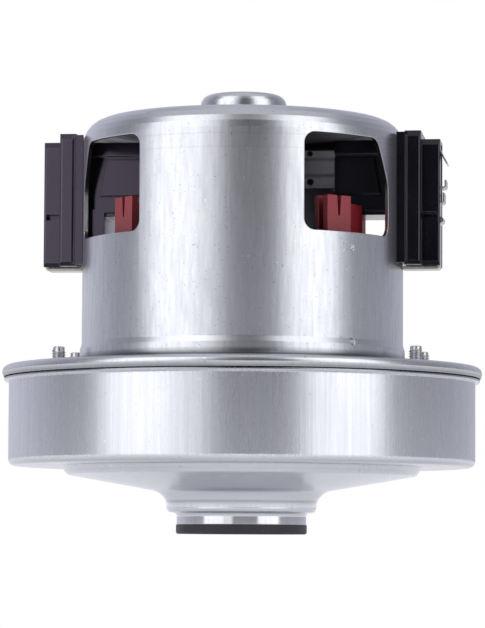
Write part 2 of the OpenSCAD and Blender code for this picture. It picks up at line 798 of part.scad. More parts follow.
// Brush holder on the right side, with or without a leg inside the can
module brush_holder(leg) {
    panel_t = 1.6;
    collar_w = 2.6;
    saddle_half_w = body_half_w + 1;
    saddle_in = can_r * 0.8;
    slit_z = holder_mid_z - slit_down;
    slit_skin = 0.8;
    slit_depth = 3;
    color([0.13, 0.12, 0.14])
        difference() {
            union() {
                // Body that reaches through the can
                translate([holder_in, -body_half_w + panel_t, holder_mid_z - body_half_h])
                    cube([plate_in - holder_in + 1, 2 * (body_half_w - panel_t), 2 * body_half_h]);
                // Raised side panels: a slanted one above a square one
                translate([0, body_half_w, holder_mid_z])
                    rotate([90, 0, 0])
                        linear_extrude(2 * body_half_w) {
                            polygon([
                                [holder_in, -4.6],
                                [plate_in - 6.8, -4.6],
                                [plate_in - 8.6, 5.6],
                                [holder_in, 5.6]
                            ]);
                            translate([holder_in, 1 - body_half_h])
                                square([plate_in - holder_in - 5.4, 4.2]);
                            translate([holder_in, 6.6])
                                square([plate_in - holder_in, body_half_h - 6.6]);
                            translate([plate_in - collar_w, -body_half_h])
                                square([collar_w, body_half_h * 2]);
                        }
                // Leg down the can's inner side
                if (leg)
                    intersection() {
                        translate([leg_in, -body_half_w, holder_mid_z - body_half_h - leg_h])
                            cube([plate_in - leg_in, 2 * body_half_w, leg_h + 2]);
                        translate([0, 0, holder_mid_z - body_half_h - leg_h - 1])
                            cylinder(r = can_in_r - touch_gap, h = leg_h + 4);
                    }
                // Saddle on the can's wall
                difference() {
                    translate([saddle_in, -saddle_half_w, plate_low_z + 0.4])
                        cube([plate_in - saddle_in + 1, 2 * saddle_half_w, plate_top_z - plate_low_z - 0.8]);
                    translate([0, 0, plate_low_z])
                        cylinder(r = can_r, h = plate_top_z - plate_low_z);
                }
                // Cover plate, and the connector block on it
                bevelled_block(plate_in, plate_out, plate_half_w, plate_low_z, plate_top_z, 0.9);
                bevelled_block(plate_out - 2, block_out, block_half_w, plate_low_z, block_top_z, 0.7);
            }
            // Bore for the brush tube
            translate([holder_in - 1, -tube_half_w, brush_mid_z - tube_half_h])
                cube([plate_out - holder_in + 1 - touch_gap, 2 * tube_half_w, 2 * tube_half_h]);
            // Slit in both sides of the block, behind its face
            for (s = [-1, 1])
                translate([plate_out, s * block_half_w - slit_depth, slit_z - slit_h / 2])
                    cube([block_out - plate_out - slit_skin, 2 * slit_depth, slit_h]);
            // Channel in the block's face for the terminal
            translate([block_out - channel_t, -terminal_w / 2 - touch_gap, plate_low_z - 1])
                cube([channel_t + 1, terminal_w + 2 * touch_gap, block_top_z - plate_low_z]);
        }
}

module brush_tube() {
    color([0.78, 0.62, 0.3])
        difference() {
            translate([tube_in_x, -tube_half_w, brush_mid_z - tube_half_h])
                cube([tube_out_x - tube_in_x, 2 * tube_half_w, 2 * tube_half_h]);
            translate([tube_in_x - 1, -brush_w / 2 - brush_fit, brush_mid_z - brush_h / 2 - brush_fit])
                cube([tube_out_x - tube_in_x + 1 - tube_wall, brush_w + 2 * brush_fit,
                    brush_h + 2 * brush_fit]);
        }
}

// Carbon brush with a face ground to the commutator
module carbon_brush() {
    color([0.16, 0.16, 0.17])
        difference() {
            translate([0, -brush_w / 2, brush_mid_z - brush_h / 2])
                cube([brush_back_x, brush_w, brush_h]);
            translate([0, 0, brush_mid_z - brush_h])
                cylinder(r = brush_in_x, h = 2 * brush_h);
        }
}

// Helical brush spring as one swept tube with flat sided wire
module brush_spring() {
    start_x = brush_back_x + touch_gap;
    end_x = tube_out_x - tube_wall - touch_gap;
    steps = 8;
    sides = 6;
    wire_r = spring_wire / 2;
    mean_r = spring_r - wire_r;
    n = spring_turns * steps;
    pitch = end_x - start_x - spring_wire;
    points = [for (i = [0 : n], k = [0 : sides - 1])
        let (a = 360 * i / steps, b = 360 * k / sides, r = mean_r + wire_r * cos(b))
        [start_x + wire_r + pitch * i / n + wire_r * sin(b), r * cos(a), r * sin(a)]];
    sides_faces = [for (i = [0 : n - 1], k = [0 : sides - 1])
        let (k2 = (k + 1) % sides, p = i * sides + k, q = i * sides + k2)
        each [[p, q, q + sides], [p, q + sides, p + sides]]];
    start_face = [for (k = [sides - 1 : -1 : 0]) k];
    end_face = [for (k = [0 : sides - 1]) n * sides + k];
    color("silver")
        translate([0, 0, brush_mid_z])
            polyhedron(points, concat(sides_faces, [start_face, end_face]));
}

// Plated strap under and up the holder, and the clip above it, which can have its tabs
module brush_terminal(tabs) {
    face_x = block_out - channel_t + touch_gap;
    out_x = block_out + 1.6;
    leaf_t = 0.5;
    strap_z = plate_low_z - touch_gap - terminal_t;
    strap = bent([
        [can_r + running_gap, strap_z, 0],
        [face_x + terminal_t, strap_z, terminal_t + touch_gap],
        [face_x + terminal_t, block_top_z - 18.5, 0]
    ]);
    clip = bent([
        [face_x + 0.6, block_top_z - 17.2, 0],
        [face_x + 0.6, block_top_z - 1.4, 0]
    ]);
    // Bent leaves on the clip and the strap, from the top down
    leaves = [
        [[face_x + 0.3, -2.6, 0], [out_x, -6.8, 0]],
        [[face_x + 0.3, -13.6, 0], [out_x, -13.6, 0.7], [out_x, -11.2, 0]],
        [[face_x + 0.3, -17.8, 0], [out_x - 0.5, -17.8, 0.6], [out_x - 0.5, -14.8, 0]],
        [[face_x + 0.3, -24, 0], [out_x - 0.7, -22.9, 0], [out_x - 0.7, -22.1, 0], [face_x + 0.3, -21, 0]]
    ];
    color("lightgray")
        translate([0, terminal_w / 2, 0])
            rotate([90, 0, 0])
                linear_extrude(terminal_w) {
                    polygon(sheet(strap, terminal_t));
                    polygon(sheet(clip, 0.6));
                    // Foot that joins the clip to the strap
                    translate([face_x, block_top_z - 18.6])
                        square([terminal_t, 1.6]);
                    if (tabs)
                        translate([0, block_top_z])
                            for (leaf = leaves) polygon(sheet(bent(leaf), leaf_t));
                }
}

module bearing_outer(z) {
    color("silver")
        translate([0, 0, z])
            difference() {
                rotate_extrude()
                    translate([outer_ring_r, 0])
                        square([bearing_d / 2 - outer_ring_r, bearing_w]);
                translate([0, 0, bearing_w / 2])
                    rotate_extrude()
                        translate([pitch_r, 0])
                            circle(r = race_r);
            }
}

module bearing_inner(z) {
    color("silver")
        translate([0, 0, z])
            difference() {
                rotate_extrude()
                    translate([shaft_r, 0])
                        square([inner_ring_r - shaft_r, bearing_w]);
                translate([0, 0, bearing_w / 2])
                    rotate_extrude()
                        translate([pitch_r, 0])
                            circle(r = race_r);
            }
}

// Balls with the thin cage that keeps them apart
module bearing_balls(z) {
    cage_half_w = ball_r * 0.25;
    color("gold")
        translate([0, 0, z + bearing_w / 2]) {
            around(ball_count)
                translate([pitch_r, 0, 0])
                    sphere(r = ball_r);
            rotate_extrude()
                translate([pitch_r - cage_half_w, -ball_r * 0.6])
                    square([2 * cage_half_w, ball_r * 1.2]);
        }
}

// Cone of spring steel between the bearing's outer ring and the can's cup
module bearing_spring_washer() {
    sheet_t = 0.4;
    low_z = upper_bearing_z + bearing_w;
    color("dimgray")
        rotate_extrude()
            polygon([
                [outer_ring_r - 0.8, low_z + washer_h - sheet_t],
                [outer_ring_r - 0.8, low_z + washer_h],
                [outer_ring_r, low_z + washer_h],
                [bearing_d / 2 - 0.5, low_z + sheet_t],
                [bearing_d / 2 - 0.5, low_z],
                [bearing_d / 2 - 1.3, low_z]
            ]);
}

module rotor_shaft() {
    edge = 0.5;
    color("gray")
        rotate_extrude()
            polygon([
                [0, shaft_low_z],
                [shaft_r - edge, shaft_low_z],
                [shaft_r, shaft_low_z + edge],
                [shaft_r, shaft_top_z - edge],
                [shaft_r - edge, shaft_top_z],
                [0, shaft_top_z]
            ]);
}

// One armature slot in plan, widening outwards to its narrow mouth
module slot_plan(gap) {
    slot_out = armature_r - 2.4 - gap;
    slot_in = armature_r - armature_slot_h + gap;
    half_out = slot_out * sin(180 / armature_slots) - 1.5 - gap;
    half_in = slot_in * sin(180 / armature_slots) - 1.5 - gap;
    polygon([[slot_in, -half_in], [slot_out, -half_out], [slot_out, half_out], [slot_in, half_in]]);
}

module armature_core() {
    mouth = 2;
    color("gray")
        translate([0, 0, stack_low_z])
            difference() {
                cylinder(r = armature_r, h = stack_h);
                translate([0, 0, -1]) {
                    cylinder(r = shaft_r, h = stack_h + 2);
                    around(armature_slots)
                        linear_extrude(stack_h + 2) {
                            slot_plan(0);
                            translate([armature_r - 3, -mouth / 2])
                                square([4, mouth]);
                        }
                }
            }
}

// Winding: a bar in every slot and a rounded head at each end
module armature_winding() {
    head_r = armature_r - 1.6;
    foot_z = stack_low_z - fibre_t;
    head_z = stack_top_z + fibre_t;
    color([0.7, 0.35, 0.16]) {
        around(armature_slots)
            translate([0, 0, foot_z - eps])
                linear_extrude(head_z - foot_z + 2 * eps)
                    slot_plan(0.2);
        rotate_extrude()
            polygon(rounded([
                [sleeve_r, head_z, 0],
                [head_r, head_z, 1],
                [head_r, head_z + winding_top_h * 0.6, 3],
                [head_r - 6, head_z + winding_top_h - fibre_t, 3],
                [sleeve_r, head_z + winding_top_h - fibre_t, 0]
            ]));
        rotate_extrude()
            polygon(rounded([
                [sleeve_r, foot_z, 0],
                [sleeve_r, stack_low_z - winding_foot_h, 0],
                [head_r - 4, stack_low_z - winding_foot_h, 2],
                [head_r, foot_z - 1.6, 2],
                [head_r, foot_z, 0]
            ]));
    }
}

// Slotted fibre disc that lies against an end of the stack, its lower face at z = 0
module fibre_disc() {
    difference() {
        cylinder(r = armature_r - 0.4, h = fibre_t);
        around(armature_slots)
            translate([0, 0, -1])
                linear_extrude(fibre_t + 2)
                    slot_plan(0.1);
    }
}

// Fibre disc and shaft sleeve at each end of the stack
module armature_insulators() {
    foot_z = stack_low_z - fibre_t;
    sleeve_foot_z = lower_bearing_z + bearing_w;
    color("beige")
        difference() {
            union() {
                translate([0, 0, stack_top_z]) fibre_disc();
                translate([0, 0, stack_top_z])
                    cylinder(r = sleeve_r, h = hub_z - stack_top_z);
                translate([0, 0, foot_z]) fibre_disc();
                translate([0, 0, sleeve_foot_z])
                    cylinder(r = sleeve_r, h = stack_low_z - sleeve_foot_z);
            }
            translate([0, 0, sleeve_foot_z - 1])
                cylinder(r = shaft_r, h = hub_z - sleeve_foot_z + 2);
        }
}

module commutator_hub() {
    color([0.1, 0.1, 0.1])
        rotate_extrude()
            polygon([
                [shaft_r, hub_z],
                [hub_r + 3, hub_z],
                [hub_r + 3, bars_z],
                [hub_r, bars_z],
                [hub_r, commutator_top_z],
                [hub_r + 2, commutator_top_z],
                [hub_r + 2, commutator_top_z + 1],
                [inner_ring_r - touch_gap, commutator_top_z + 1],
                [inner_ring_r - touch_gap, upper_bearing_z],
                [shaft_r, upper_bearing_z]
            ]);
}

module commutator_bars() {
    color([0.75, 0.45, 0.25])
        difference() {
            rotate_extrude()
                polygon([
                    [hub_r, bars_z],
                    [commutator_r + 1.7, bars_z],
                    [commutator_r + 1.7, bars_z + riser_h - 0.6],
                    [commutator_r, bars_z + riser_h],
                    [commutator_r, commutator_top_z],
                    [hub_r, commutator_top_z]
                ]);
            around(commutator_bars_n)
                translate([0, -bar_gap / 2, bars_z - 1])
                    cube([commutator_r + 3, bar_gap, commutator_top_z - bars_z + 2]);
        }
}

module impeller_back_disc() {
    color("silver")
        translate([0, 0, back_disc_low_z])
            difference() {
                cylinder(r = fan_r, h = fan_sheet);
                translate([0, 0, -1]) cylinder(r = shaft_r, h = fan_sheet + 2);
            }
}

module impeller_front_disc() {
    lip_h = 3.6;
    rise = fan_sheet / cos(fan_cone);
    path = bent([
        [eye_r, front_disc_in_z - rise - lip_h, 0],
        [eye_r, front_disc_in_z - rise, 2],
        [fan_r, front_disc_out_z - rise, 0]
    ]);
    color("silver")
        rotate_extrude()
            polygon(sheet(path, fan_sheet));
}

module impeller_vanes() {
    in_r = eye_r + 3;
    out_r = fan_r - 0.5;
    color("silver")
        intersection() {
            around(fan_vanes)
                translate([0, 0, front_disc_in_z - 1])
                    linear_extrude(back_disc_low_z - front_disc_in_z + 1)
                        polygon(blade(in_r - 1, out_r + 1, -fan_sweep, 1));
            rotate_extrude()
                polygon([
                    [in_r, front_disc_in_z + (in_r - eye_r) * tan(fan_cone)],
                    [out_r, front_disc_in_z + (out_r - eye_r) * tan(fan_cone)],
                    [out_r, back_disc_low_z],
                    [in_r, back_disc_low_z]
                ]);
        }
}

// Tube that clamps the impeller against the lower bearing
module shaft_spacer() {
    color("gray")
        translate([0, 0, back_disc_top_z])
            difference() {
                cylinder(r = spacer_r - 0.8, h = lower_bearing_z - back_disc_top_z);
                translate([0, 0, -1]) cylinder(r = shaft_r, h = lower_bearing_z);
            }
}

module impeller_washer() {
    color("gray")
        translate([0, 0, nut_top_z])
            difference() {
                cylinder(r = nut_w / 2 + 3, h = washer_t);
                translate([0, 0, -1]) cylinder(r = shaft_r, h = washer_t + 2);
            }
}

module shaft_nut() {
    color("darkgray")
        translate([0, 0, nut_top_z - nut_h])
            difference() {
                intersection() {
                    cylinder(d = nut_w / cos(30), h = nut_h, $fn = 6);
                    cylinder(d1 = nut_w, d2 = nut_w + 2 * nut_h, h = nut_h);
                }
                translate([0, 0, -1]) cylinder(r = shaft_r, h = nut_h + 2);
            }
}

motor_can();
fan_cover();
inlet_seal();
end_bracket();
diffuser();
bracket_screws();
stator_core();
field_coil();  // field_coil_front
rear_side() field_coil();  // field_coil_rear
coil_insulator();  // coil_insulator_front
rear_side() coil_insulator();  // coil_insulator_rear
left_side() brush_holder(true);  // brush_holder_left
brush_holder(false);  // brush_holder_right
left_side() brush_tube();  // brush_tube_left
brush_tube();  // brush_tube_right
left_side() brush_terminal(false);  // brush_terminal_left
brush_terminal(true);  // brush_terminal_right
left_side() brush_spring();  // brush_spring_left
brush_spring();  // brush_spring_right
bearing_outer(upper_bearing_z);  // upper_bearing_outer
bearing_outer(lower_bearing_z);  // lower_bearing_outer
bearing_spring_washer();
left_side() carbon_brush();  // carbon_brush_left
carbon_brush();  // carbon_brush_right
rotor_shaft();
armature_core();
armature_winding();
armature_insulators();
commutator_bars();
commutator_hub();
bearing_inner(upper_bearing_z);  // upper_bearing_inner
bearing_inner(lower_bearing_z);  // lower_bearing_inner
impeller_back_disc();
impeller_front_disc();
impeller_vanes();
shaft_spacer();
impeller_washer();
shaft_nut();
bearing_balls(upper_bearing_z);  // upper_bearing_balls
bearing_balls(lower_bearing_z);  // lower_bearing_balls
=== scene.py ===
# %% [markdown]
# # A vacuum motor, dressed for its portrait
#
# The motor comes in as a finished CAD model: a drawn steel can on a drawn steel fan cover, with
# two black brush holders through the can's sides. This lesson gives it its finishes, adds the
# wound and threaded pieces that a CAD solid only hints at, and lights it as a shop would.
#
# The first step is to load the model. Every length in Blender is in metres from here on.

# %% Load the model
import math

import bmesh
import bpy
from mathutils import Matrix, Vector


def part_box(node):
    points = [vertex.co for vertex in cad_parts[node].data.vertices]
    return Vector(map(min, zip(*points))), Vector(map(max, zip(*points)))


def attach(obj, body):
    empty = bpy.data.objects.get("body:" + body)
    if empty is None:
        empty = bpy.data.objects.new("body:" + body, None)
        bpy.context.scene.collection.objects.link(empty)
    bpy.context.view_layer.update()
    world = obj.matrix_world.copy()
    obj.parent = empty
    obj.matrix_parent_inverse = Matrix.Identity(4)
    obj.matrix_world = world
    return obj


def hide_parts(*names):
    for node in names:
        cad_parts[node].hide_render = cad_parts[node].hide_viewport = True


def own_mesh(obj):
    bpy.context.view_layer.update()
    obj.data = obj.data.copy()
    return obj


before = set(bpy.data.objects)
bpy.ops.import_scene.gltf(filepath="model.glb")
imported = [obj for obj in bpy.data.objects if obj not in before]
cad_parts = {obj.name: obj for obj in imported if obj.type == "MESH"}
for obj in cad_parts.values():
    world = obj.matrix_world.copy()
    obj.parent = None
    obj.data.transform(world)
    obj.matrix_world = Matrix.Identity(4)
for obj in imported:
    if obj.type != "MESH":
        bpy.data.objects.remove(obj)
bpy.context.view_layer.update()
MM = 0.001

# %% [markdown]
# ## The camera
#
# The picture was taken with a long lens from almost the height of the table, a little to the
# right of the motor's front. A long lens keeps the can's sides nearly straight. The camera could
# be aimed with a constraint, but a matrix built from the direction of view is shorter and exact.

# %% Camera
VIEW_AZIMUTH = math.radians(7.0)
VIEW_TILT = math.radians(4.15)
VIEW_ROLL = math.radians(0.31)
CAMERA_DISTANCE = 0.913
CAMERA_HEIGHT = -0.0042
toward_camera = Vector((math.sin(VIEW_AZIMUTH), -math.cos(VIEW_AZIMUTH), 0))

ahead = (-toward_camera * math.cos(VIEW_TILT) + Vector((0, 0, math.sin(VIEW_TILT)))).normalized()
right = ahead.cross(Vector((0, 0, 1))).normalized()
above = right.cross(ahead)
lens = bpy.data.cameras.new("portrait_lens")
lens.lens = 185.8
lens.sensor_width = 36.0
lens.clip_start = 0.05
camera = bpy.data.objects.new("camera", lens)
turned = Matrix((right, above, -ahead)).transposed().to_4x4()
standing = Matrix.Translation(toward_camera * CAMERA_DISTANCE + Vector((0, 0, CAMERA_HEIGHT)))
camera.matrix_world = standing @ turned @ Matrix.Rotation(VIEW_ROLL, 4, "Z")
bpy.context.scene.collection.objects.link(camera)
bpy.context.scene.camera = camera
bpy.context.scene.view_settings.view_transform = "Standard"
print("camera stands", round(camera.location.length, 3), "m away")

# %% [markdown]
# ## Helpers for materials
#
# A material is a tree of nodes. A few short helpers keep the rest of the lesson readable. One puts
# a node in a tree and fills its inputs, and another starts a material with its main shader. A Mix
# node has a set of sockets for each kind of value, so they are filled by number: 0 is the amount,
# 2 and 3 are for numbers, 6 and 7 for colours.

# %% Node helpers
def fill(tree, socket, value):
    """Links a socket to another, or gives it a plain value."""
    if isinstance(value, bpy.types.NodeSocket):
        tree.links.new(value, socket)
    else:
        socket.default_value = value


def put(tree, kind, inputs=None, **settings):
    """Adds one node, sets its options and fills its inputs."""
    node = tree.nodes.new("ShaderNode" + kind)
    for name, value in settings.items():
        setattr(node, name, value)
    for name, value in (inputs or {}).items():
        fill(tree, node.inputs[name], value)
    return node


def blend_of(tree, amount, first, second):
    """A colour between two others, by an amount from 0 to 1."""
    mix = put(tree, "Mix", {0: amount}, data_type="RGBA")
    fill(tree, mix.inputs[6], first)
    fill(tree, mix.inputs[7], second)
    return mix.outputs[2]


def between(tree, amount, low, high):
    """A number between low and high, by an amount from 0 to 1."""
    return put(tree, "MapRange", {"Value": amount, "To Min": low, "To Max": high}).outputs[0]


def times(tree, value, factor):
    """One number multiplied by another."""
    return put(tree, "Math", {0: value, 1: factor}, operation="MULTIPLY").outputs[0]


def stain_and_shade(tree, base, mask, strength, colour):
    """Lays a plain colour over another where a mask is bright, for specks, dust and wear and for painted
    shade alike.
    """
    return blend_of(tree, times(tree, mask, strength), base, colour + (1,))


def shade_of(colour, share):
    """A darker plain colour, as a share of another."""
    return tuple(part * share for part in colour)


def start_material(name):
    """An empty material with its main shader, and the tree to build in."""
    made = bpy.data.materials.new(name)
    made.use_nodes = True
    tree = made.node_tree
    tree.nodes.clear()
    shader = put(tree, "BsdfPrincipled")
    output = put(tree, "OutputMaterial")
    tree.links.new(shader.outputs[0], output.inputs["Surface"])
    return made, tree, shader

# %% [markdown]
# ## The floor and the light
#
# The motor stands on a plain white light table, whose glow fills the shade under the fan cover.
# The camera looks from a few millimetres below that table, so its material lets the view through
# from underneath, and only there. The white behind the motor is the world itself.

# %% Floor
FLOOR_R = 1.6
TABLE_GLOW = 0.5
shape = bmesh.new()
bmesh.ops.create_circle(shape, cap_ends=True, segments=96, radius=FLOOR_R)
mesh = bpy.data.meshes.new("floor")
shape.to_mesh(mesh)
shape.free()
floor = bpy.data.objects.new("floor", mesh)
bpy.context.scene.collection.objects.link(floor)

paper, tree, shader = start_material("white_paper")
grain = put(tree, "TexNoise", {"Vector": put(tree, "TexCoord").outputs["Object"], "Scale": 900.0,
                               "Detail": 4.0})
fill(tree, shader.inputs["Base Color"],
     blend_of(tree, grain.outputs["Fac"], (0.80, 0.80, 0.81, 1), (0.86, 0.86, 0.87, 1)))
fill(tree, shader.inputs["Roughness"], 0.75)
shader.inputs["Emission Color"].default_value = (1.0, 1.0, 1.0, 1.0)
shader.inputs["Emission Strength"].default_value = TABLE_GLOW
clear = put(tree, "BsdfTransparent")
side = put(tree, "NewGeometry")
choice = put(tree, "MixShader", {"Fac": side.outputs["Backfacing"], 1: shader.outputs[0],
                                 2: clear.outputs[0]})
tree.links.new(choice.outputs[0], tree.nodes["Material Output"].inputs["Surface"])
floor.data.materials.append(paper)
print("the floor faces", "up" if floor.data.polygons[0].normal.z > 0 else "down")

# %% [markdown]
# Bright drawn steel shows whatever stands round it. Two wide soft lights, one on each side of the
# camera, give the can its two pale bands with a darker one between them. A narrow strip between the
# camera and the left one widens the left band, and the left brush holder's face catches it. A
# fourth light from above picks out the top.

# %% Lights
LIGHT_AIM = 0.06


def soft_light(name, turn, rise, distance, width, height, power):
    """An area light, in degrees from the camera's side and above the table, aimed at the motor.

    The distance and the light's own width and height are in metres, its power is in watts.
    """
    around = Matrix.Rotation(math.radians(turn), 3, "Z") @ toward_camera
    place = around * math.cos(math.radians(rise)) + Vector((0, 0, math.sin(math.radians(rise))))
    panel = bpy.data.lights.new(name, "AREA")
    panel.shape = "RECTANGLE"
    panel.size = width
    panel.size_y = height
    panel.energy = power
    light = bpy.data.objects.new(name, panel)
    light.location = place * distance + Vector((0, 0, LIGHT_AIM))
    light.rotation_euler = place.to_track_quat("Z", "Y").to_euler()
    bpy.context.scene.collection.objects.link(light)


soft_light("left_strip", -22.8, 14, 1.3, 0.33, 2.2, 2.6)
soft_light("left_panel", -50, 14, 1.3, 0.94, 2.2, 11.3)
soft_light("right_panel", 49.5, 14, 1.3, 0.98, 2.2, 11.7)
soft_light("top_panel", 0, 86, 1.6, 2.2, 1.6, 5.0)

# %% [markdown]
# The world behind the motor is plain white where the camera looks at it directly. For the light
# that falls on the motor it is a dim room. The far side is brighter, where a white wall stands, and
# the camera's own side is almost black. Two numbers do that: how far a direction points away from
# the camera's side, and how far it points to the right, because the wall is brighter on its left.

# %% World
ROOM_GLOW = 0.31
WALL_GLOW = 0.74
LESS_TO_THE_RIGHT = -0.20
CAMERA_SIDE_SHARE = 0.14
world = bpy.data.worlds.new("studio")
bpy.context.scene.world = world
world.use_nodes = True
tree = world.node_tree
tree.nodes.clear()
seen = put(tree, "LightPath")
facing = put(tree, "VectorMath", {0: put(tree, "TexCoord").outputs["Generated"],
                                  1: tuple(toward_camera)}, operation="DOT_PRODUCT")
beyond = put(tree, "MapRange", {"Value": facing.outputs["Value"], "From Min": -0.1,
                                "From Max": -0.8}).outputs[0]
beside = put(tree, "VectorMath", {0: put(tree, "TexCoord").outputs["Generated"], 1: tuple(right)},
             operation="DOT_PRODUCT")
spread = put(tree, "Math", {0: times(tree, beside.outputs["Value"], beyond), 1: LESS_TO_THE_RIGHT,
                            2: between(tree, beyond, ROOM_GLOW, WALL_GLOW)}, operation="MULTIPLY_ADD")
shade = put(tree, "MapRange", {"Value": facing.outputs["Value"], "From Min": 0.40, "From Max": 0.88,
                               "To Min": 1.0, "To Max": CAMERA_SIDE_SHARE})
glow = times(tree, spread.outputs[0], shade.outputs[0])
behind = put(tree, "Background", {"Color": (1, 1, 1, 1), "Strength": 1.0})
room = put(tree, "Background", {"Color": (0.87, 0.88, 1.0, 1), "Strength": glow})
either = put(tree, "MixShader", {"Fac": seen.outputs["Is Camera Ray"], 1: room.outputs[0],
                                 2: behind.outputs[0]})
put(tree, "OutputWorld", {"Surface": either.outputs[0]})
print("the world has", len(tree.nodes), "nodes")

# %% [markdown]
# ## Marks that metal and plastic share
#
# Sheet steel that was pulled through a die has fine marks along the pull, a few rings where the
# die stepped, and specks. Each effect is a node group of its own, so that every steel here uses
# the same one with its own strength. A painted texture could do this, but a pattern of noise
# needs no picture and is as sharp in any view.

# %% Group helper
def start_group(name, inputs, outputs):
    """A shader node group with named sockets, and its tree's two ends."""
    group = bpy.data.node_groups.new(name, "ShaderNodeTree")
    for label, kind, default in inputs:
        socket = group.interface.new_socket(label, in_out="INPUT", socket_type="NodeSocket" + kind)
        if default is not None:
            socket.default_value = default
    for label, kind in outputs:
        group.interface.new_socket(label, in_out="OUTPUT", socket_type="NodeSocket" + kind)
    return group, group.nodes.new("NodeGroupInput"), group.nodes.new("NodeGroupOutput")


def use_group(tree, group, inputs=None):
    """Places a group in a material with its own values."""
    node = tree.nodes.new("ShaderNodeGroup")
    node.node_tree = group
    for name, value in (inputs or {}).items():
        fill(tree, node.inputs[name], value)
    return node

# %% [markdown]
# The draw marks are noise squeezed flat across the pull and stretched along it. A second, coarser
# noise makes the marks stronger in some places than in others, as a worn die does.

# %% Draw marks
draw_marks, ins, outs = start_group(
    "draw_marks",
    [("Vector", "Vector", None), ("Along", "Vector", (1.0, 1.0, 0.02)), ("Fineness", "Float", 900.0)],
    [("Marks", "Float"), ("Cloud", "Float")])
stretched = put(draw_marks, "VectorMath", {0: ins.outputs["Vector"], 1: ins.outputs["Along"]},
                operation="MULTIPLY")
fine = put(draw_marks, "TexNoise", {"Vector": stretched.outputs[0], "Scale": ins.outputs["Fineness"],
                                    "Detail": 5.0, "Roughness": 0.65})
cloud = put(draw_marks, "TexNoise", {"Vector": ins.outputs["Vector"], "Scale": 38.0, "Detail": 3.0})
fill(draw_marks, outs.inputs["Marks"], fine.outputs["Fac"])
fill(draw_marks, outs.inputs["Cloud"], cloud.outputs["Fac"])
print("draw marks take", len(draw_marks.nodes), "nodes")

# %% [markdown]
# Specks are small pits and grains of dust. A noise at the size of a speck is cut off near its
# top, so that only a few peaks are left. A narrow ramp above the cut gives each speck a soft edge.

# %% Specks
SPECK_RAMP = 0.06
specks, ins, outs = start_group(
    "specks",
    [("Vector", "Vector", None), ("Size", "Float", 1400.0), ("Rarity", "Float", 0.68)],
    [("Mask", "Float")])
peaks = put(specks, "TexNoise", {"Vector": ins.outputs["Vector"], "Scale": ins.outputs["Size"],
                                 "Detail": 2.0})
full = put(specks, "Math", {0: ins.outputs["Rarity"], 1: SPECK_RAMP}, operation="ADD")
kept = put(specks, "MapRange", {"Value": peaks.outputs["Fac"], "From Min": ins.outputs["Rarity"],
                                "From Max": full.outputs[0]})
fill(specks, outs.inputs["Mask"], kept.outputs[0])
print("specks take", len(specks.nodes), "nodes")

# %% [markdown]
# An edge catches the light because it is never quite sharp, and it wears first. The Bevel node
# rounds the normals near an edge without touching the mesh. How far its normal leans away from
# the true one says how near the edge is, which is the mask for wear.

# %% Soft edges
soft_edges, ins, outs = start_group(
    "soft_edges", [("Radius", "Float", 0.0004), ("Gain", "Float", 4.0)],
    [("Normal", "Vector"), ("Edge", "Float")])
rounded = put(soft_edges, "Bevel", {"Radius": ins.outputs["Radius"]}, samples=6)
true_one = put(soft_edges, "NewGeometry")
same = put(soft_edges, "VectorMath", {0: rounded.outputs[0], 1: true_one.outputs["Normal"]},
           operation="DOT_PRODUCT")
away = put(soft_edges, "Math", {0: 1.0, 1: same.outputs["Value"]}, operation="SUBTRACT", use_clamp=True)
gained = put(soft_edges, "Math", {0: away.outputs[0], 1: ins.outputs["Gain"]}, operation="MULTIPLY",
             use_clamp=True)
fill(soft_edges, outs.inputs["Normal"], rounded.outputs[0])
fill(soft_edges, outs.inputs["Edge"], gained.outputs[0])
print("soft edges take", len(soft_edges.nodes), "nodes")

# %% [markdown]
# The inside of the can is painted darker as shade, because little light gets there. Its faces
# point to the axis or down, which is a mask that needs no second material. A ring at one height
# serves for the thin lines that the dies left round the sheet, and for painted shade at the bends
# of the flange and at the bell's lower edge, where little light reaches. A wide ring also makes
# the inlet neck smoother than the rest, because it was drawn furthest over a polished punch.

# %% Inner side and rings
painted_inner_shade, ins, outs = start_group(
    "painted_inner_shade", [("Vector", "Vector", None), ("Normal", "Vector", None)], [("Mask", "Float")])
flat = put(painted_inner_shade, "VectorMath", {0: ins.outputs["Vector"], 1: (1.0, 1.0, 0.0)},
           operation="MULTIPLY")
outward = put(painted_inner_shade, "VectorMath", {0: flat.outputs[0]}, operation="NORMALIZE")
leaning = put(painted_inner_shade, "VectorMath", {0: outward.outputs[0], 1: (0.0, 0.0, 1.0)}, operation="ADD")
inward = put(painted_inner_shade, "VectorMath", {0: leaning.outputs[0], 1: ins.outputs["Normal"]},
             operation="DOT_PRODUCT")
turned_in = put(painted_inner_shade, "MapRange", {"Value": inward.outputs["Value"], "From Min": -0.15,
                                         "From Max": -0.5})
fill(painted_inner_shade, outs.inputs["Mask"], turned_in.outputs[0])

ring_line, ins, outs = start_group(
    "ring_line", [("Vector", "Vector", None), ("Height", "Float", 0.1), ("Width", "Float", 0.0003)],
    [("Mask", "Float")])
parts = put(ring_line, "SeparateXYZ", {0: ins.outputs["Vector"]})
apart = put(ring_line, "Math", {0: parts.outputs["Z"], 1: ins.outputs["Height"]}, operation="SUBTRACT")
near = put(ring_line, "Math", {0: apart.outputs[0]}, operation="ABSOLUTE")
line = put(ring_line, "MapRange", {"Value": near.outputs[0], "From Max": ins.outputs["Width"],
                                   "To Min": 1.0, "To Max": 0.0})
fill(ring_line, outs.inputs["Mask"], line.outputs[0])
print("the inner side takes", len(painted_inner_shade.nodes), "nodes, a ring", len(ring_line.nodes))
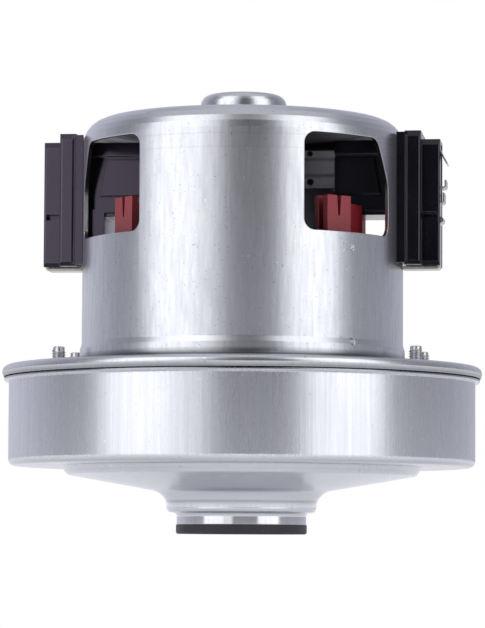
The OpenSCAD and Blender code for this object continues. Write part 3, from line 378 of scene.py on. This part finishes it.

# %% [markdown]
# Sheet tubes are often pinned with a punch, which leaves a small hollow. The mesh has no hollow, so
# the group below paints its shade as a dark round spot at one height and one distance from the
# middle, on both sides of the motor alike.

# %% Punch marks
HOLLOW_CORE = 0.7
punch_shade, ins, outs = start_group(
    "punch_shade", [("Vector", "Vector", None), ("Out", "Float", 0.02), ("Height", "Float", 0.1),
                   ("Radius", "Float", 0.001)],
    [("Mask", "Float")])
parts = put(punch_shade, "SeparateXYZ", {0: ins.outputs["Vector"]})
either_side = put(punch_shade, "Math", {0: parts.outputs["X"]}, operation="ABSOLUTE")
aside = put(punch_shade, "Math", {0: either_side.outputs[0], 1: ins.outputs["Out"]}, operation="SUBTRACT")
higher = put(punch_shade, "Math", {0: parts.outputs["Z"], 1: ins.outputs["Height"]}, operation="SUBTRACT")
offset = put(punch_shade, "CombineXYZ", {"X": aside.outputs[0], "Z": higher.outputs[0]})
reach = put(punch_shade, "VectorMath", {0: offset.outputs[0]}, operation="LENGTH")
round_spot = put(punch_shade, "MapRange", {
    "Value": reach.outputs["Value"], "From Min": times(punch_shade, ins.outputs["Radius"], HOLLOW_CORE),
    "From Max": ins.outputs["Radius"], "To Min": 1.0, "To Max": 0.0})
fill(punch_shade, outs.inputs["Mask"], round_spot.outputs[0])
print("groups:", [g.name for g in bpy.data.node_groups])

# %% [markdown]
# ## Metals
#
# One function makes every metal here. It takes the two colours that the marks run between, how
# rough the metal is, which way it was pulled or turned, and how strong marks, specks and worn
# edges are. A separate tree for every metal would be longer, and a change to one would not reach
# the others.

# %% Metal maker
# Dark shares of a metal's colour: pits are real, rings are die lines or painted shade, and hollows and the
# inside are painted shade
PIT_SHARE = 0.35
RING_LINE_AND_SHADE_SHARE = 0.2
HOLLOW_SHADE_SHARE = 0.05
INNER_SHADE_SHARE = 0.12
NICK_COLOUR = (0.95, 0.95, 0.97)
# How far a normal points straight up or down where a face begins to count as level, and fully does
LEVEL_FROM, LEVEL_TO = 0.95, 0.995


def metal(name, dark, light, rough, along=(1.0, 1.0, 0.02), fineness=900.0, bump=0.05, cloudy=0.3,
          speck=0.35, rarity=0.68, edge_radius=0.0003, worn=(0.85, 0.85, 0.86), wear=0.5,
          nicks=0.0, inner=0.0, rings=(), smooth_tops=0.0, punches=(), polished=None,
          matt_tops=0.0):
    """A bare metal whose marks run between two colours.

    along is how much the marks are squeezed on each axis, so they run long where it is small.
    bump is their depth in millimetres, edge_radius the round of an edge in metres, and rarity how
    high a peak has to be to make a speck. cloudy, speck, wear, nicks and inner are strengths from
    0 to 1; inner is painted shade on faces turned in. smooth_tops is how far the marks fade on
    faces that lie flat, and matt_tops how much rougher those are. Each ring is (height, half width,
    strength), a die line or a band of painted shade, each punch (distance out, height, radius) the
    painted shade of a hollow, and polished is one smoother band as (height, half width, roughness).
    """
    made, tree, shader = start_material(name)
    spot = put(tree, "TexCoord")
    where = spot.outputs["Object"]
    drawn = use_group(tree, draw_marks, {"Vector": where, "Along": along, "Fineness": fineness})
    pits = use_group(tree, specks, {"Vector": where, "Rarity": rarity})
    soft = use_group(tree, soft_edges, {"Radius": edge_radius})
    lying = put(tree, "SeparateXYZ", {0: spot.outputs["Normal"]})
    flat = put(tree, "Math", {0: lying.outputs["Z"]}, operation="ABSOLUTE").outputs[0]
    calm = put(tree, "MapRange", {"Value": flat, "From Min": 0.08, "From Max": 0.4,
                                  "To Max": smooth_tops})
    marks = put(tree, "Mix", {0: calm.outputs[0], 2: drawn.outputs["Marks"], 3: 0.5}).outputs[0]
    # Noise stays near 0.5, so its range is widened here before it picks a colour
    clouded = put(tree, "Mix", {0: cloudy, 2: between(tree, marks, -0.45, 1.45),
                                3: between(tree, drawn.outputs["Cloud"], -0.4, 1.4)}).outputs[0]
    base = blend_of(tree, clouded, dark + (1,), light + (1,))
    base = stain_and_shade(tree, base, pits.outputs["Mask"], speck, shade_of(dark, PIT_SHARE))
    if nicks:
        chips = use_group(tree, specks, {"Vector": where, "Size": 1150.0, "Rarity": 0.70})
        base = stain_and_shade(tree, base, chips.outputs["Mask"], nicks, NICK_COLOUR)
    base = stain_and_shade(tree, base, soft.outputs["Edge"], wear, worn)
    # A ring is a die line or a band of painted shade
    for height, half_width, strength in rings:
        ring = use_group(tree, ring_line, {"Vector": where, "Height": height, "Width": half_width})
        base = stain_and_shade(tree, base, ring.outputs["Mask"], strength, shade_of(dark, RING_LINE_AND_SHADE_SHARE))
    # A punch is the painted shade of a hollow that the mesh does not have
    for out, height, radius in punches:
        hollow = use_group(tree, punch_shade, {"Vector": where, "Out": out, "Height": height,
                                              "Radius": radius})
        base = stain_and_shade(tree, base, hollow.outputs["Mask"], 1.0, shade_of(dark, HOLLOW_SHADE_SHARE))
    # Faces turned in are painted darker as shade
    if inner:
        shaded_inside = use_group(tree, painted_inner_shade, {"Vector": where, "Normal": spot.outputs["Normal"]})
        base = stain_and_shade(tree, base, shaded_inside.outputs["Mask"], inner, shade_of(dark, INNER_SHADE_SHARE))
    fill(tree, shader.inputs["Base Color"], base)
    fill(tree, shader.inputs["Metallic"], 1.0)
    roughness = between(tree, clouded, rough + 0.05, rough - 0.05)
    if polished:
        height, half_width, smooth = polished
        band = use_group(tree, ring_line, {"Vector": where, "Height": height, "Width": half_width})
        roughness = put(tree, "Mix", {0: band.outputs["Mask"], 2: roughness, 3: smooth}).outputs[0]
    if matt_tops:
        level = put(tree, "MapRange", {"Value": flat, "From Min": LEVEL_FROM, "From Max": LEVEL_TO,
                                       "To Max": matt_tops})
        roughness = put(tree, "Math", {0: roughness, 1: level.outputs[0]}, operation="ADD").outputs[0]
    fill(tree, shader.inputs["Roughness"], roughness)
    relief = put(tree, "Bump", {"Strength": 0.6, "Distance": bump * MM,
                                "Normal": soft.outputs["Normal"], "Height": marks})
    fill(tree, shader.inputs["Normal"], relief.outputs[0])
    return made

# %% [markdown]
# ## The can, the cover and the screws
#
# Can and cover are drawn from sheet steel in several strokes, so their marks run up the wall, and
# where a die stopped it left a faint ring. The bend at the can's foot, the lip and the edges of
# the cover are painted darker, as shade and shadow where less light reaches. A texture painted for
# each wall could show that, but a ring needs only its height, its width and its strength. The flat
# top of the can is made duller, so that it does not mirror a lamp when it is seen from above.

# %% Can, cover and screws
def dress(material, *nodes):
    """Gives CAD nodes a material of this lesson."""
    for name in nodes:
        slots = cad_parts[name].data.materials
        slots.clear()
        slots.append(material)
    print(material.name, "on", ", ".join(nodes))


can_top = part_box("motor_can")[1][2]
cover_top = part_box("fan_cover")[1][2]
# The flange's upper face, which no box of a piece gives
FLANGE_Z = 46.85 * MM
die_lines = [(can_top - 16.2 * MM, 0.3 * MM, 0.12), (can_top - 19.9 * MM, 0.3 * MM, 0.12)]
# die_lines are real die marks. The next rings are painted shade and shadow at the can's foot and lip and
# at the cover's bead, lower edge and step; above_collar is a darker ring
foot_bend_shade = (FLANGE_Z + 1.5 * MM, 1.9 * MM, 1.0)
under_lip_shadow = (FLANGE_Z - 2.9 * MM, 1.5 * MM, 0.7)
cover_bead_shade = (cover_top - 0.9 * MM, 1.3 * MM, 0.85)
lower_edge_shade = (19.3 * MM, 1.3 * MM, 0.35)
floor_step_shade = (17.5 * MM, 1.4 * MM, 0.2)
above_collar = (9.0 * MM, 0.6 * MM, 0.35)
can_steel = metal("can_steel", (0.445, 0.455, 0.50), (0.69, 0.70, 0.735), 0.30,
                  along=(1.0, 1.0, 0.12), bump=0.04, speck=0.5, rarity=0.667, nicks=0.6, inner=0.85,
                  smooth_tops=0.9, matt_tops=0.35, rings=(*die_lines, foot_bend_shade, under_lip_shadow))
cover_steel = metal("cover_steel", (0.475, 0.485, 0.53), (0.66, 0.67, 0.71), 0.28, bump=0.025,
                    nicks=0.5, smooth_tops=1.0,
                    rings=(cover_bead_shade, lower_edge_shade, floor_step_shade, above_collar),
                    polished=(4 * MM, 12 * MM, 0.13))
screw_steel = metal("screw_steel", (0.40, 0.40, 0.42), (0.62, 0.62, 0.64), 0.32)
dress(can_steel, "motor_can")
dress(cover_steel, "fan_cover")
dress(screw_steel, "bracket_screws")

# %% [markdown]
# ## Plastics
#
# Moulded plastic has a fine grain from the tool, a soft sheen, and edges that have been rubbed
# pale. Black holders and red insulators come from the same maker with other values, and so does
# rubber, which differs from a dull plastic in nothing that a picture shows.

# %% Plastic maker
DUST_COLOUR = (0.5, 0.48, 0.46)


def plastic(name, dark, light, rough, grain=1500.0, bump=0.03, edge_radius=0.0003,
            worn=(0.3, 0.3, 0.32), wear=0.3, dust=0.15, shine=0.5, tint=(1, 1, 1, 1)):
    """A moulded plastic that varies between two colours.

    grain is how fine the tool's grain is, bump its depth in millimetres. wear, dust and shine are
    strengths from 0 to 1, and tint colours the shine.
    """
    made, tree, shader = start_material(name)
    where = put(tree, "TexCoord").outputs["Object"]
    soft = use_group(tree, soft_edges, {"Radius": edge_radius})
    grains = put(tree, "TexNoise", {"Vector": where, "Scale": grain, "Detail": 3.0})
    cloud = put(tree, "TexNoise", {"Vector": where, "Scale": 60.0, "Detail": 3.0}).outputs["Fac"]
    grit = use_group(tree, specks, {"Vector": where, "Size": 2200.0, "Rarity": 0.66})
    base = blend_of(tree, between(tree, cloud, -0.5, 1.5), dark + (1,), light + (1,))
    base = stain_and_shade(tree, base, grit.outputs["Mask"], dust, DUST_COLOUR)
    base = stain_and_shade(tree, base, soft.outputs["Edge"], wear, worn)
    fill(tree, shader.inputs["Base Color"], base)
    fill(tree, shader.inputs["Roughness"], between(tree, cloud, rough - 0.06, rough + 0.06))
    shader.inputs["Specular IOR Level"].default_value = shine
    shader.inputs["Specular Tint"].default_value = tint
    relief = put(tree, "Bump", {"Strength": 0.5, "Distance": bump * MM,
                                "Normal": soft.outputs["Normal"], "Height": grains.outputs["Fac"]})
    fill(tree, shader.inputs["Normal"], relief.outputs[0])
    return made

# %% [markdown]
# The holders came from a polished mould and shine, with a tint towards violet. The real ones are
# of one plastic, but the right one looks blacker in the picture, because it lies in shade. Light
# alone would not part them here, so the plastic has a lit copy for the left one and a shaded copy
# for the right one, whose blacker colour and weaker shine are painted shade. The insulators on the
# armature are pressed fibre, which is light brown and dull.

# %% Plastic pieces
seal_rubber = plastic("seal_rubber", (0.017, 0.017, 0.023), (0.029, 0.029, 0.037), 0.55)
left_holder_lit = plastic("left_holder_lit", (0.003, 0.0025, 0.004), (0.007, 0.0055, 0.009), 0.17, bump=0.008,
                      tint=(0.86, 0.74, 1.0, 1), worn=(0.10, 0.09, 0.11), dust=0.05, shine=0.92)
# The right holder's blacker colour and weaker shine are painted shade; the left copy is the lit one
right_holder_shaded = plastic("right_holder_shaded", (0.001, 0.0009, 0.0013), (0.003, 0.0027, 0.004), 0.17,
                       bump=0.008, tint=(0.86, 0.80, 1.0, 1), worn=(0.07, 0.065, 0.08), wear=0.12,
                       dust=0.03, shine=0.55)
red_plastic = plastic("red_plastic", (0.17, 0.008, 0.014), (0.27, 0.016, 0.026), 0.36,
                      worn=(0.45, 0.12, 0.12), shine=0.8)
diffuser_plastic = plastic("diffuser_plastic", (0.035, 0.035, 0.038), (0.06, 0.06, 0.065), 0.5)
fibre = plastic("fibre", (0.30, 0.19, 0.09), (0.42, 0.28, 0.15), 0.7, worn=(0.5, 0.4, 0.3))
dress(seal_rubber, "inlet_seal")
dress(left_holder_lit, "brush_holder_left")
dress(right_holder_shaded, "brush_holder_right")
dress(red_plastic, "coil_insulator_front", "coil_insulator_rear")
dress(diffuser_plastic, "diffuser", "commutator_hub")
dress(fibre, "armature_insulators")

# %% [markdown]
# ## The pieces inside
#
# Behind the windows are stacked laminations, lacquered wire, a copper commutator and the bright
# tubes that guide the brushes. Their metals come from the same maker. The shaft and the copper
# bars were turned on a lathe, so their marks run round them. The tubes were folded from sheet, so
# theirs run along the fold, and a stack of laminations shows the level edges of its sheets. A
# brush is pressed carbon, which looks like a dull plastic.

# %% More metals
bracket_steel = metal("bracket_steel", (0.42, 0.42, 0.44), (0.60, 0.60, 0.63), 0.34)
lamination = metal("lamination", (0.16, 0.16, 0.17), (0.34, 0.34, 0.36), 0.42, along=(0.03, 0.03, 1.0),
                   fineness=1500.0, bump=0.12)
bearing_steel = metal("bearing_steel", (0.55, 0.55, 0.57), (0.70, 0.70, 0.72), 0.16)
shaft_steel = metal("shaft_steel", (0.50, 0.50, 0.52), (0.68, 0.68, 0.70), 0.2, along=(0.02, 0.02, 1.0))
aluminium = metal("aluminium", (0.62, 0.63, 0.65), (0.78, 0.79, 0.80), 0.33)
# The tubes' grooves and hollows are not in the mesh; their shade is painted as dark rings and spots
tube_groove_shades = ((105.3 * MM, 0.7 * MM, 0.6), (100.7 * MM, 0.9 * MM, 0.6))
tube_hollow_shades = ((19.4 * MM, 106.9 * MM, 0.9 * MM), (19.5 * MM, 98.9 * MM, 1.1 * MM))
tube_metal = metal("tube_metal", (0.46, 0.46, 0.51), (0.68, 0.68, 0.74), 0.34,
                   along=(0.03, 1.0, 1.0), rings=tube_groove_shades, punches=tube_hollow_shades)
terminal_plate = metal("terminal_plate", (0.32, 0.31, 0.27), (0.52, 0.50, 0.45), 0.30)
bar_copper = metal("bar_copper", (0.50, 0.22, 0.12), (0.72, 0.38, 0.23), 0.25, along=(0.03, 0.03, 1.0),
                   worn=(0.9, 0.6, 0.45))
wire_copper = metal("wire_copper", (0.36, 0.12, 0.05), (0.62, 0.27, 0.12), 0.3, worn=(0.8, 0.5, 0.35))
lacquered_wire = metal("lacquered_wire", (0.035, 0.014, 0.008), (0.10, 0.035, 0.018), 0.3, fineness=1400.0,
                       worn=(0.3, 0.12, 0.06))
spring_steel = metal("spring_steel", (0.32, 0.32, 0.33), (0.5, 0.5, 0.5), 0.3)
carbon = plastic("carbon", (0.02, 0.02, 0.022), (0.045, 0.045, 0.05), 0.5, grain=2500.0)
dress(bracket_steel, "end_bracket")
dress(lamination, "stator_core", "armature_core")
dress(bearing_steel, "upper_bearing_outer", "lower_bearing_outer", "upper_bearing_inner",
      "lower_bearing_inner", "upper_bearing_balls", "lower_bearing_balls")
dress(shaft_steel, "rotor_shaft", "shaft_spacer", "impeller_washer", "shaft_nut")
dress(aluminium, "impeller_back_disc", "impeller_front_disc", "impeller_vanes")
dress(tube_metal, "brush_tube_left", "brush_tube_right")
dress(terminal_plate, "brush_terminal_left", "brush_terminal_right")
dress(bar_copper, "commutator_bars")
dress(wire_copper, "armature_winding")
dress(lacquered_wire, "field_coil_front", "field_coil_rear")
dress(spring_steel, "bearing_spring_washer", "brush_spring_left", "brush_spring_right")
dress(carbon, "carbon_brush_left", "carbon_brush_right")
finishes = {o.data.materials[0].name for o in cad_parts.values()}
print(len(finishes), "finishes on", len(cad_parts), "nodes")

# %% [markdown]
# ## Pieces of their own
#
# The threads, the wires and the springs are too fine for a CAD solid, so they are built here and
# take the place of its plain ones. Each starts as a bmesh, which can be extruded and spun step by
# step. A curve with a round profile could be a wire too, but it would still have to be turned into
# a mesh. The helper below turns a bmesh into an object with its material, sets it on the body that
# carries it, and hides the CAD pieces it stands for.

# %% Helpers for pieces
def finish_piece(name, shape, material, slot, body, *replaced, crease=35):
    """Turns a finished bmesh into a piece that rides on a body and stands for CAD nodes."""
    bmesh.ops.recalc_face_normals(shape, faces=shape.faces)
    mesh = bpy.data.meshes.new(name)
    shape.to_mesh(mesh)
    shape.free()
    mesh.shade_smooth()
    mesh.set_sharp_from_angle(angle=math.radians(crease))
    mesh.materials.append(material)
    piece = bpy.data.objects.new(name, mesh)
    bpy.context.scene.collection.objects.link(piece)
    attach(piece, body)
    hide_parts(*replaced)
    print(name, "has", len(mesh.polygons), "faces")
    return piece


def everything(shape):
    """All vertices, edges and faces of a bmesh, as its operators want them."""
    return shape.verts[:] + shape.edges[:] + shape.faces[:]


def verts_of(geometry):
    """Only the vertices of an operator's result."""
    return [g for g in geometry if isinstance(g, bmesh.types.BMVert)]

# %% [markdown]
# ## Screws with a real thread
#
# Four screws hold the bracket, and their ends stand up through the flange, where the light finds
# every turn of the thread. The real thread is rolled between two dies. Here a V of three points is
# spun round the axis and lifted a little at each step, which leaves the same ridge. A bump would
# be quicker, but the screw's outline would stay smooth.

# %% Shank and thread
PITCH = 0.7 * MM
CREST_R = 2.0 * MM
CORE_R = 1.62 * MM
# The ridge starts a little inside the shank, so that no gap shows between them
ROOT_R = CORE_R - 0.06 * MM
HALF_RIDGE = PITCH * 0.42
TIP_BEVEL = 0.35 * MM
HEAD_H = 1.8 * MM
STEPS_PER_TURN = 20
low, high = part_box("bracket_screws")
foot, tip = low[2], high[2]
shank_z = foot + HEAD_H

shape = bmesh.new()
# Shank with its pointed end
bmesh.ops.create_cone(shape, cap_ends=True, segments=24, radius1=CORE_R, radius2=CORE_R,
                      depth=tip - shank_z, matrix=Matrix.Translation((0, 0, (tip + shank_z) / 2)))
end = [e for e in shape.edges if all(v.co.z > tip - 0.1 * MM for v in e.verts)]
bmesh.ops.bevel(shape, geom=end, offset=TIP_BEVEL, segments=2, profile=0.5, affect="EDGES",
                material=-1)
# Thread
turns = int((tip - shank_z - PITCH) / PITCH)
start_z = shank_z + 0.1 * MM
ridge = [shape.verts.new(p) for p in ((ROOT_R, 0, start_z - HALF_RIDGE), (CREST_R, 0, start_z),
                                      (ROOT_R, 0, start_z + HALF_RIDGE))]
edges = [shape.edges.new(pair) for pair in zip(ridge, ridge[1:])]
bmesh.ops.spin(shape, geom=ridge + edges, cent=(0, 0, 0), axis=(0, 0, 1),
               dvec=(0, 0, PITCH / STEPS_PER_TURN), angle=2 * math.pi * turns,
               steps=STEPS_PER_TURN * turns, use_merge=False)
print("the thread has", turns, "turns")

# %% [markdown]
# The head is at the lower end, sunk into the diffuser. A driver turns it by a recess with four
# arms. The head's lower face is inset, the corners between the arms are drawn in, and what is left
# is pushed up into the head. A boolean cut would do the same, but it can leave long thin faces.

# %% Screw head
HEAD_R = 3.8 * MM
RECESS_MARGIN = 1.7 * MM
RECESS_DEPTH = 1.2 * MM
made = bmesh.ops.create_cone(shape, cap_ends=True, segments=24, radius1=HEAD_R, radius2=CREST_R,
                             depth=HEAD_H, matrix=Matrix.Translation((0, 0, foot + HEAD_H / 2)))
under = min({f for v in made["verts"] for f in v.link_faces}, key=lambda f: f.calc_center_median().z)
bmesh.ops.inset_region(shape, faces=[under], thickness=RECESS_MARGIN, use_even_offset=True)
for vert in under.verts:
    if abs(math.sin(2 * math.atan2(vert.co.y, vert.co.x))) > 0.6:
        vert.co.xy *= 0.4
deeper = bmesh.ops.extrude_discrete_faces(shape, faces=[under])["faces"][0]
for vert in deeper.verts:
    vert.co.xy *= 0.7
    vert.co.z += RECESS_DEPTH
print("one screw has", len(shape.faces), "faces")

# %% [markdown]
# One screw serves for all four. It is copied three times, and each is set out to the circle of the
# holes in the flange and turned to its own place.

# %% Four screws
SCREW_CIRCLE_R = 51.9 * MM
SCREW_TURNS = [math.radians(a) for a in (15.6, 164.4, 195.6, 344.4)]
whole = everything(shape)
sets = [whole] + [bmesh.ops.duplicate(shape, geom=whole)["geom"] for _ in SCREW_TURNS[1:]]
for one, turn in zip(sets, SCREW_TURNS):
    spot = Matrix.Rotation(turn, 4, "Z") @ Matrix.Translation((SCREW_CIRCLE_R, 0, 0))
    bmesh.ops.transform(shape, matrix=spot, verts=verts_of(one))
finish_piece("threaded_screws", shape, screw_steel, "screw_steel", "motor", "bracket_screws", crease=28)

# %% [markdown]
# ## Field coils of real wire
#
# Each pole carries a coil of lacquered copper wire, wound turn beside turn and layer on layer. It
# crosses over the end of the stack in an arc and dives into the slot on each side. All the turns
# share one motion: a grid of small hexagons, one for each wire, is pulled up out of the slot, bent
# over, carried round the arc, bent down again and pulled through the other slot. One spin does
# each bend for the whole bundle. A second, flatter bundle crosses below the stack.

# %% Helpers for bundles of wire
WIRE_D = 0.76 * MM
WIRE_R = WIRE_D * 0.53


def grid_of_wires(shape, columns, layers, stand_at):
    """Sets one small hexagon for each wire of the bundle, where a function of its place says."""
    for column in range(columns):
        for layer in range(layers):
            bmesh.ops.create_circle(shape, cap_ends=True, segments=6, radius=WIRE_R,
                                    matrix=stand_at(column, layer))


def swing(shape, geometry, centre, axis, angle, steps):
    """Spins part of a bmesh round an axis and gives back its last position."""
    return bmesh.ops.spin(shape, geom=geometry, cent=centre, axis=axis, angle=angle,
                          steps=steps)["geom_last"]


def pull(shape, faces, rise):
    """Pulls faces straight up, or down for a negative rise, and gives back the new end."""
    pulled = bmesh.ops.extrude_face_region(shape, geom=faces)["geom"]
    bmesh.ops.translate(shape, vec=(0, 0, rise), verts=verts_of(pulled))
    return pulled

# %% [markdown]
# Both coils are made by one function that is told where the middle of the pole points. It takes
# its heights from the box of the CAD piece that it stands for.

# %% Field coils
COIL_IN_R, COIL_OUT_R = 27.4 * MM, 34.7 * MM
LAYERS = 6
LOWER_LAYERS = 5
LOWER_START = 0.55
SLOT_FOOT = 2.4 * MM
HALF_SPAN = math.radians(56)
LOWER_HALF_SPAN = 1.2 * HALF_SPAN
QUARTER = math.radians(90)
BEND_STEPS = 5
ARC_STEPS = 26
LOWER_ARC_STEPS = 30


def wound_coil(name, middle, node):
    """The wires of one pole's coil, whose middle points at an angle."""
    low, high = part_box(node)
    columns = int((COIL_OUT_R - COIL_IN_R) / WIRE_D)
    gap = (COIL_OUT_R - COIL_IN_R - WIRE_D) / (columns - 1)
    foot_z = low[2] + SLOT_FOOT
    bend_z = high[2] - WIRE_D / 2 - 0.05 * MM - WIRE_D * LAYERS
    start = Vector((math.cos(middle + HALF_SPAN), math.sin(middle + HALF_SPAN), 0))
    sideways = Vector((-start.y, start.x, 0))
    finish = Vector((math.cos(middle - HALF_SPAN), math.sin(middle - HALF_SPAN), 0))

    def in_the_slot(column, layer):
        place = start * (COIL_IN_R + WIRE_D / 2 + gap * column) + sideways * (WIRE_D * (layer + 1))
        return Matrix.Translation(place + Vector((0, 0, foot_z)))

    def below_the_stack(column, layer):
        place = Matrix.Translation((COIL_IN_R + WIRE_D / 2 + gap * column, 0,
                                    low[2] + WIRE_D * (LOWER_START + layer)))
        turned = Matrix.Rotation(middle - LOWER_HALF_SPAN, 4, "Z")
        return turned @ place @ Matrix.Rotation(QUARTER, 4, "X")

    shape = bmesh.new()
    grid_of_wires(shape, columns, LAYERS, in_the_slot)
    centre = Vector((0, 0, bend_z))
    pulled = pull(shape, shape.faces[:], bend_z - foot_z)
    bent = swing(shape, pulled, centre, start, QUARTER, BEND_STEPS)
    carried = swing(shape, bent, (0, 0, 0), (0, 0, 1), -2 * HALF_SPAN, ARC_STEPS)
    bent = swing(shape, carried, centre, finish, QUARTER, BEND_STEPS)
    pull(shape, [g for g in bent if isinstance(g, bmesh.types.BMFace)], foot_z - bend_z)
    # Below the stack
    upper = set(shape.faces)
    grid_of_wires(shape, columns, LOWER_LAYERS, below_the_stack)
    caps = [f for f in shape.faces if f not in upper]
    rims = list({e for f in caps for e in f.edges}) + list({v for f in caps for v in f.verts})
    swing(shape, caps + rims, (0, 0, 0), (0, 0, 1), 2 * LOWER_HALF_SPAN, LOWER_ARC_STEPS)
    finish_piece(name, shape, lacquered_wire, "copper", "motor", node, crease=70)


wound_coil("wound_coil_front", math.radians(-90), "field_coil_front")
wound_coil("wound_coil_rear", math.radians(90), "field_coil_rear")

# %% [markdown]
# ## The armature's winding
#
# The armature's coils run up one slot, cross the end of the core beside the shaft and go down the
# fifth slot on. One set of wires is laid along a curved path for the first slot. It is then
# copied round the shaft for the other eleven, as a winding machine repeats one motion twelve times.

# %% Wires along a path
def lay_wire(shape, path, radius, sides=6):
    """Lays one round wire along a path of points, closed at both ends."""
    last = None
    for i, point in enumerate(path):
        way = path[min(i + 1, len(path) - 1)] - path[max(i - 1, 0)]
        turned = Matrix.Translation(point) @ way.to_track_quat("Z", "Y").to_matrix().to_4x4()
        ring = bmesh.ops.create_circle(shape, cap_ends=i in (0, len(path) - 1), segments=sides,
                                       radius=radius, matrix=turned)["verts"]
        edges = list({e for v in ring for e in v.link_edges})
        if last:
            bmesh.ops.bridge_loops(shape, edges=last + edges)
        last = edges


SLOTS = 12
SLOT_STEP = math.radians(30)
REACH = 5 * SLOT_STEP
SLOT_DIP = 3 * MM


def at(r, angle, z):
    """A point at a distance, an angle and a height round the shaft."""
    return Vector((r * math.cos(angle), r * math.sin(angle), z))


def crossing(turn, slot_r, near_r, from_z, rise, side):
    """A path out of one slot, over the end of the core and into the slot five places on."""
    points = [at(slot_r, turn, from_z - side * SLOT_DIP)]
    for i in range(11):
        share = i / 10
        swell = math.sin(math.pi * share)
        r = slot_r + (near_r - slot_r) * swell ** 0.8
        points.append(at(r, turn + REACH * share, from_z + side * rise * swell ** 0.6))
    points.append(at(slot_r, turn + REACH, from_z - side * SLOT_DIP))
    return points

# %% [markdown]
# Twelve wires lie in each slot, in four rows of three. The deeper a wire lies, the wider and higher
# it passes the shaft, so the ends pile up in layers as a wound armature's do.

# %% Armature winding
ROTOR_WIRE_R = 0.42 * MM
PAST_CORE = 1.4 * MM
ROWS, COLUMNS = 4, 3
OUTER_ROW_R = 19.4 * MM
ROW_STEP = 1.5 * MM
COLUMN_TURN = math.radians(3.2)
low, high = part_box("armature_winding")
core_low, core_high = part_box("armature_core")
top_z = core_high[2] + PAST_CORE
base_z = core_low[2] - PAST_CORE
shape = bmesh.new()
for row in range(ROWS):
    for column in range(COLUMNS):
        slot_r = OUTER_ROW_R - ROW_STEP * row
        turn = COLUMN_TURN * (column - 1)
        near_r = (7.0 + 2.4 * row + 0.7 * column) * MM
        top_rise = high[2] - core_high[2] - (2.2 + 1.1 * (ROWS - 1 - row)) * MM
        base_rise = core_low[2] - low[2] - (2.2 + 0.5 * (ROWS - 1 - row)) * MM
        lay_wire(shape, crossing(turn, slot_r, near_r, top_z, top_rise, 1), ROTOR_WIRE_R)
        lay_wire(shape, crossing(turn, slot_r, near_r, base_z, base_rise, -1), ROTOR_WIRE_R)
        lay_wire(shape, [at(slot_r, turn, z) for z in (base_z, top_z)], ROTOR_WIRE_R)
bmesh.ops.spin(shape, geom=everything(shape), cent=(0, 0, 0), axis=(0, 0, 1),
               angle=(SLOTS - 1) * SLOT_STEP, steps=SLOTS - 1, use_duplicate=True)
finish_piece("rotor_wires", shape, wire_copper, "copper", "rotor", "armature_winding", crease=70)

# %% [markdown]
# ## Brush springs
#
# A spring presses each brush inward. It is a wire wound round its own axis, so a small circle is
# spun many turns and moved along at each step.

# %% Brush springs
SPRING_WIRE_R = 0.35 * MM
COILS = 6


def coil_spring(name, node):
    """A spring of round wire in a CAD spring's place."""
    low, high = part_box(node)
    middle_z = (low[2] + high[2]) / 2
    mean_r = (high[1] - low[1]) / 2 - SPRING_WIRE_R
    length = high[0] - low[0] - 2 * SPRING_WIRE_R
    shape = bmesh.new()
    at_start = Matrix.Translation((low[0] + SPRING_WIRE_R, 0, middle_z + mean_r))
    bmesh.ops.create_circle(shape, cap_ends=True, segments=10, radius=SPRING_WIRE_R,
                            matrix=at_start @ Matrix.Rotation(QUARTER, 4, "X"))
    steps = COILS * STEPS_PER_TURN
    bmesh.ops.spin(shape, geom=everything(shape), cent=(low[0], 0, middle_z), axis=(1, 0, 0),
                   dvec=(length / steps, 0, 0), angle=2 * math.pi * COILS, steps=steps)
    piece = finish_piece(name, shape, spring_steel, "screw_steel", "motor", node, crease=60)
    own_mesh(piece)


coil_spring("left_coil_spring", "brush_spring_left")
coil_spring("right_coil_spring", "brush_spring_right")
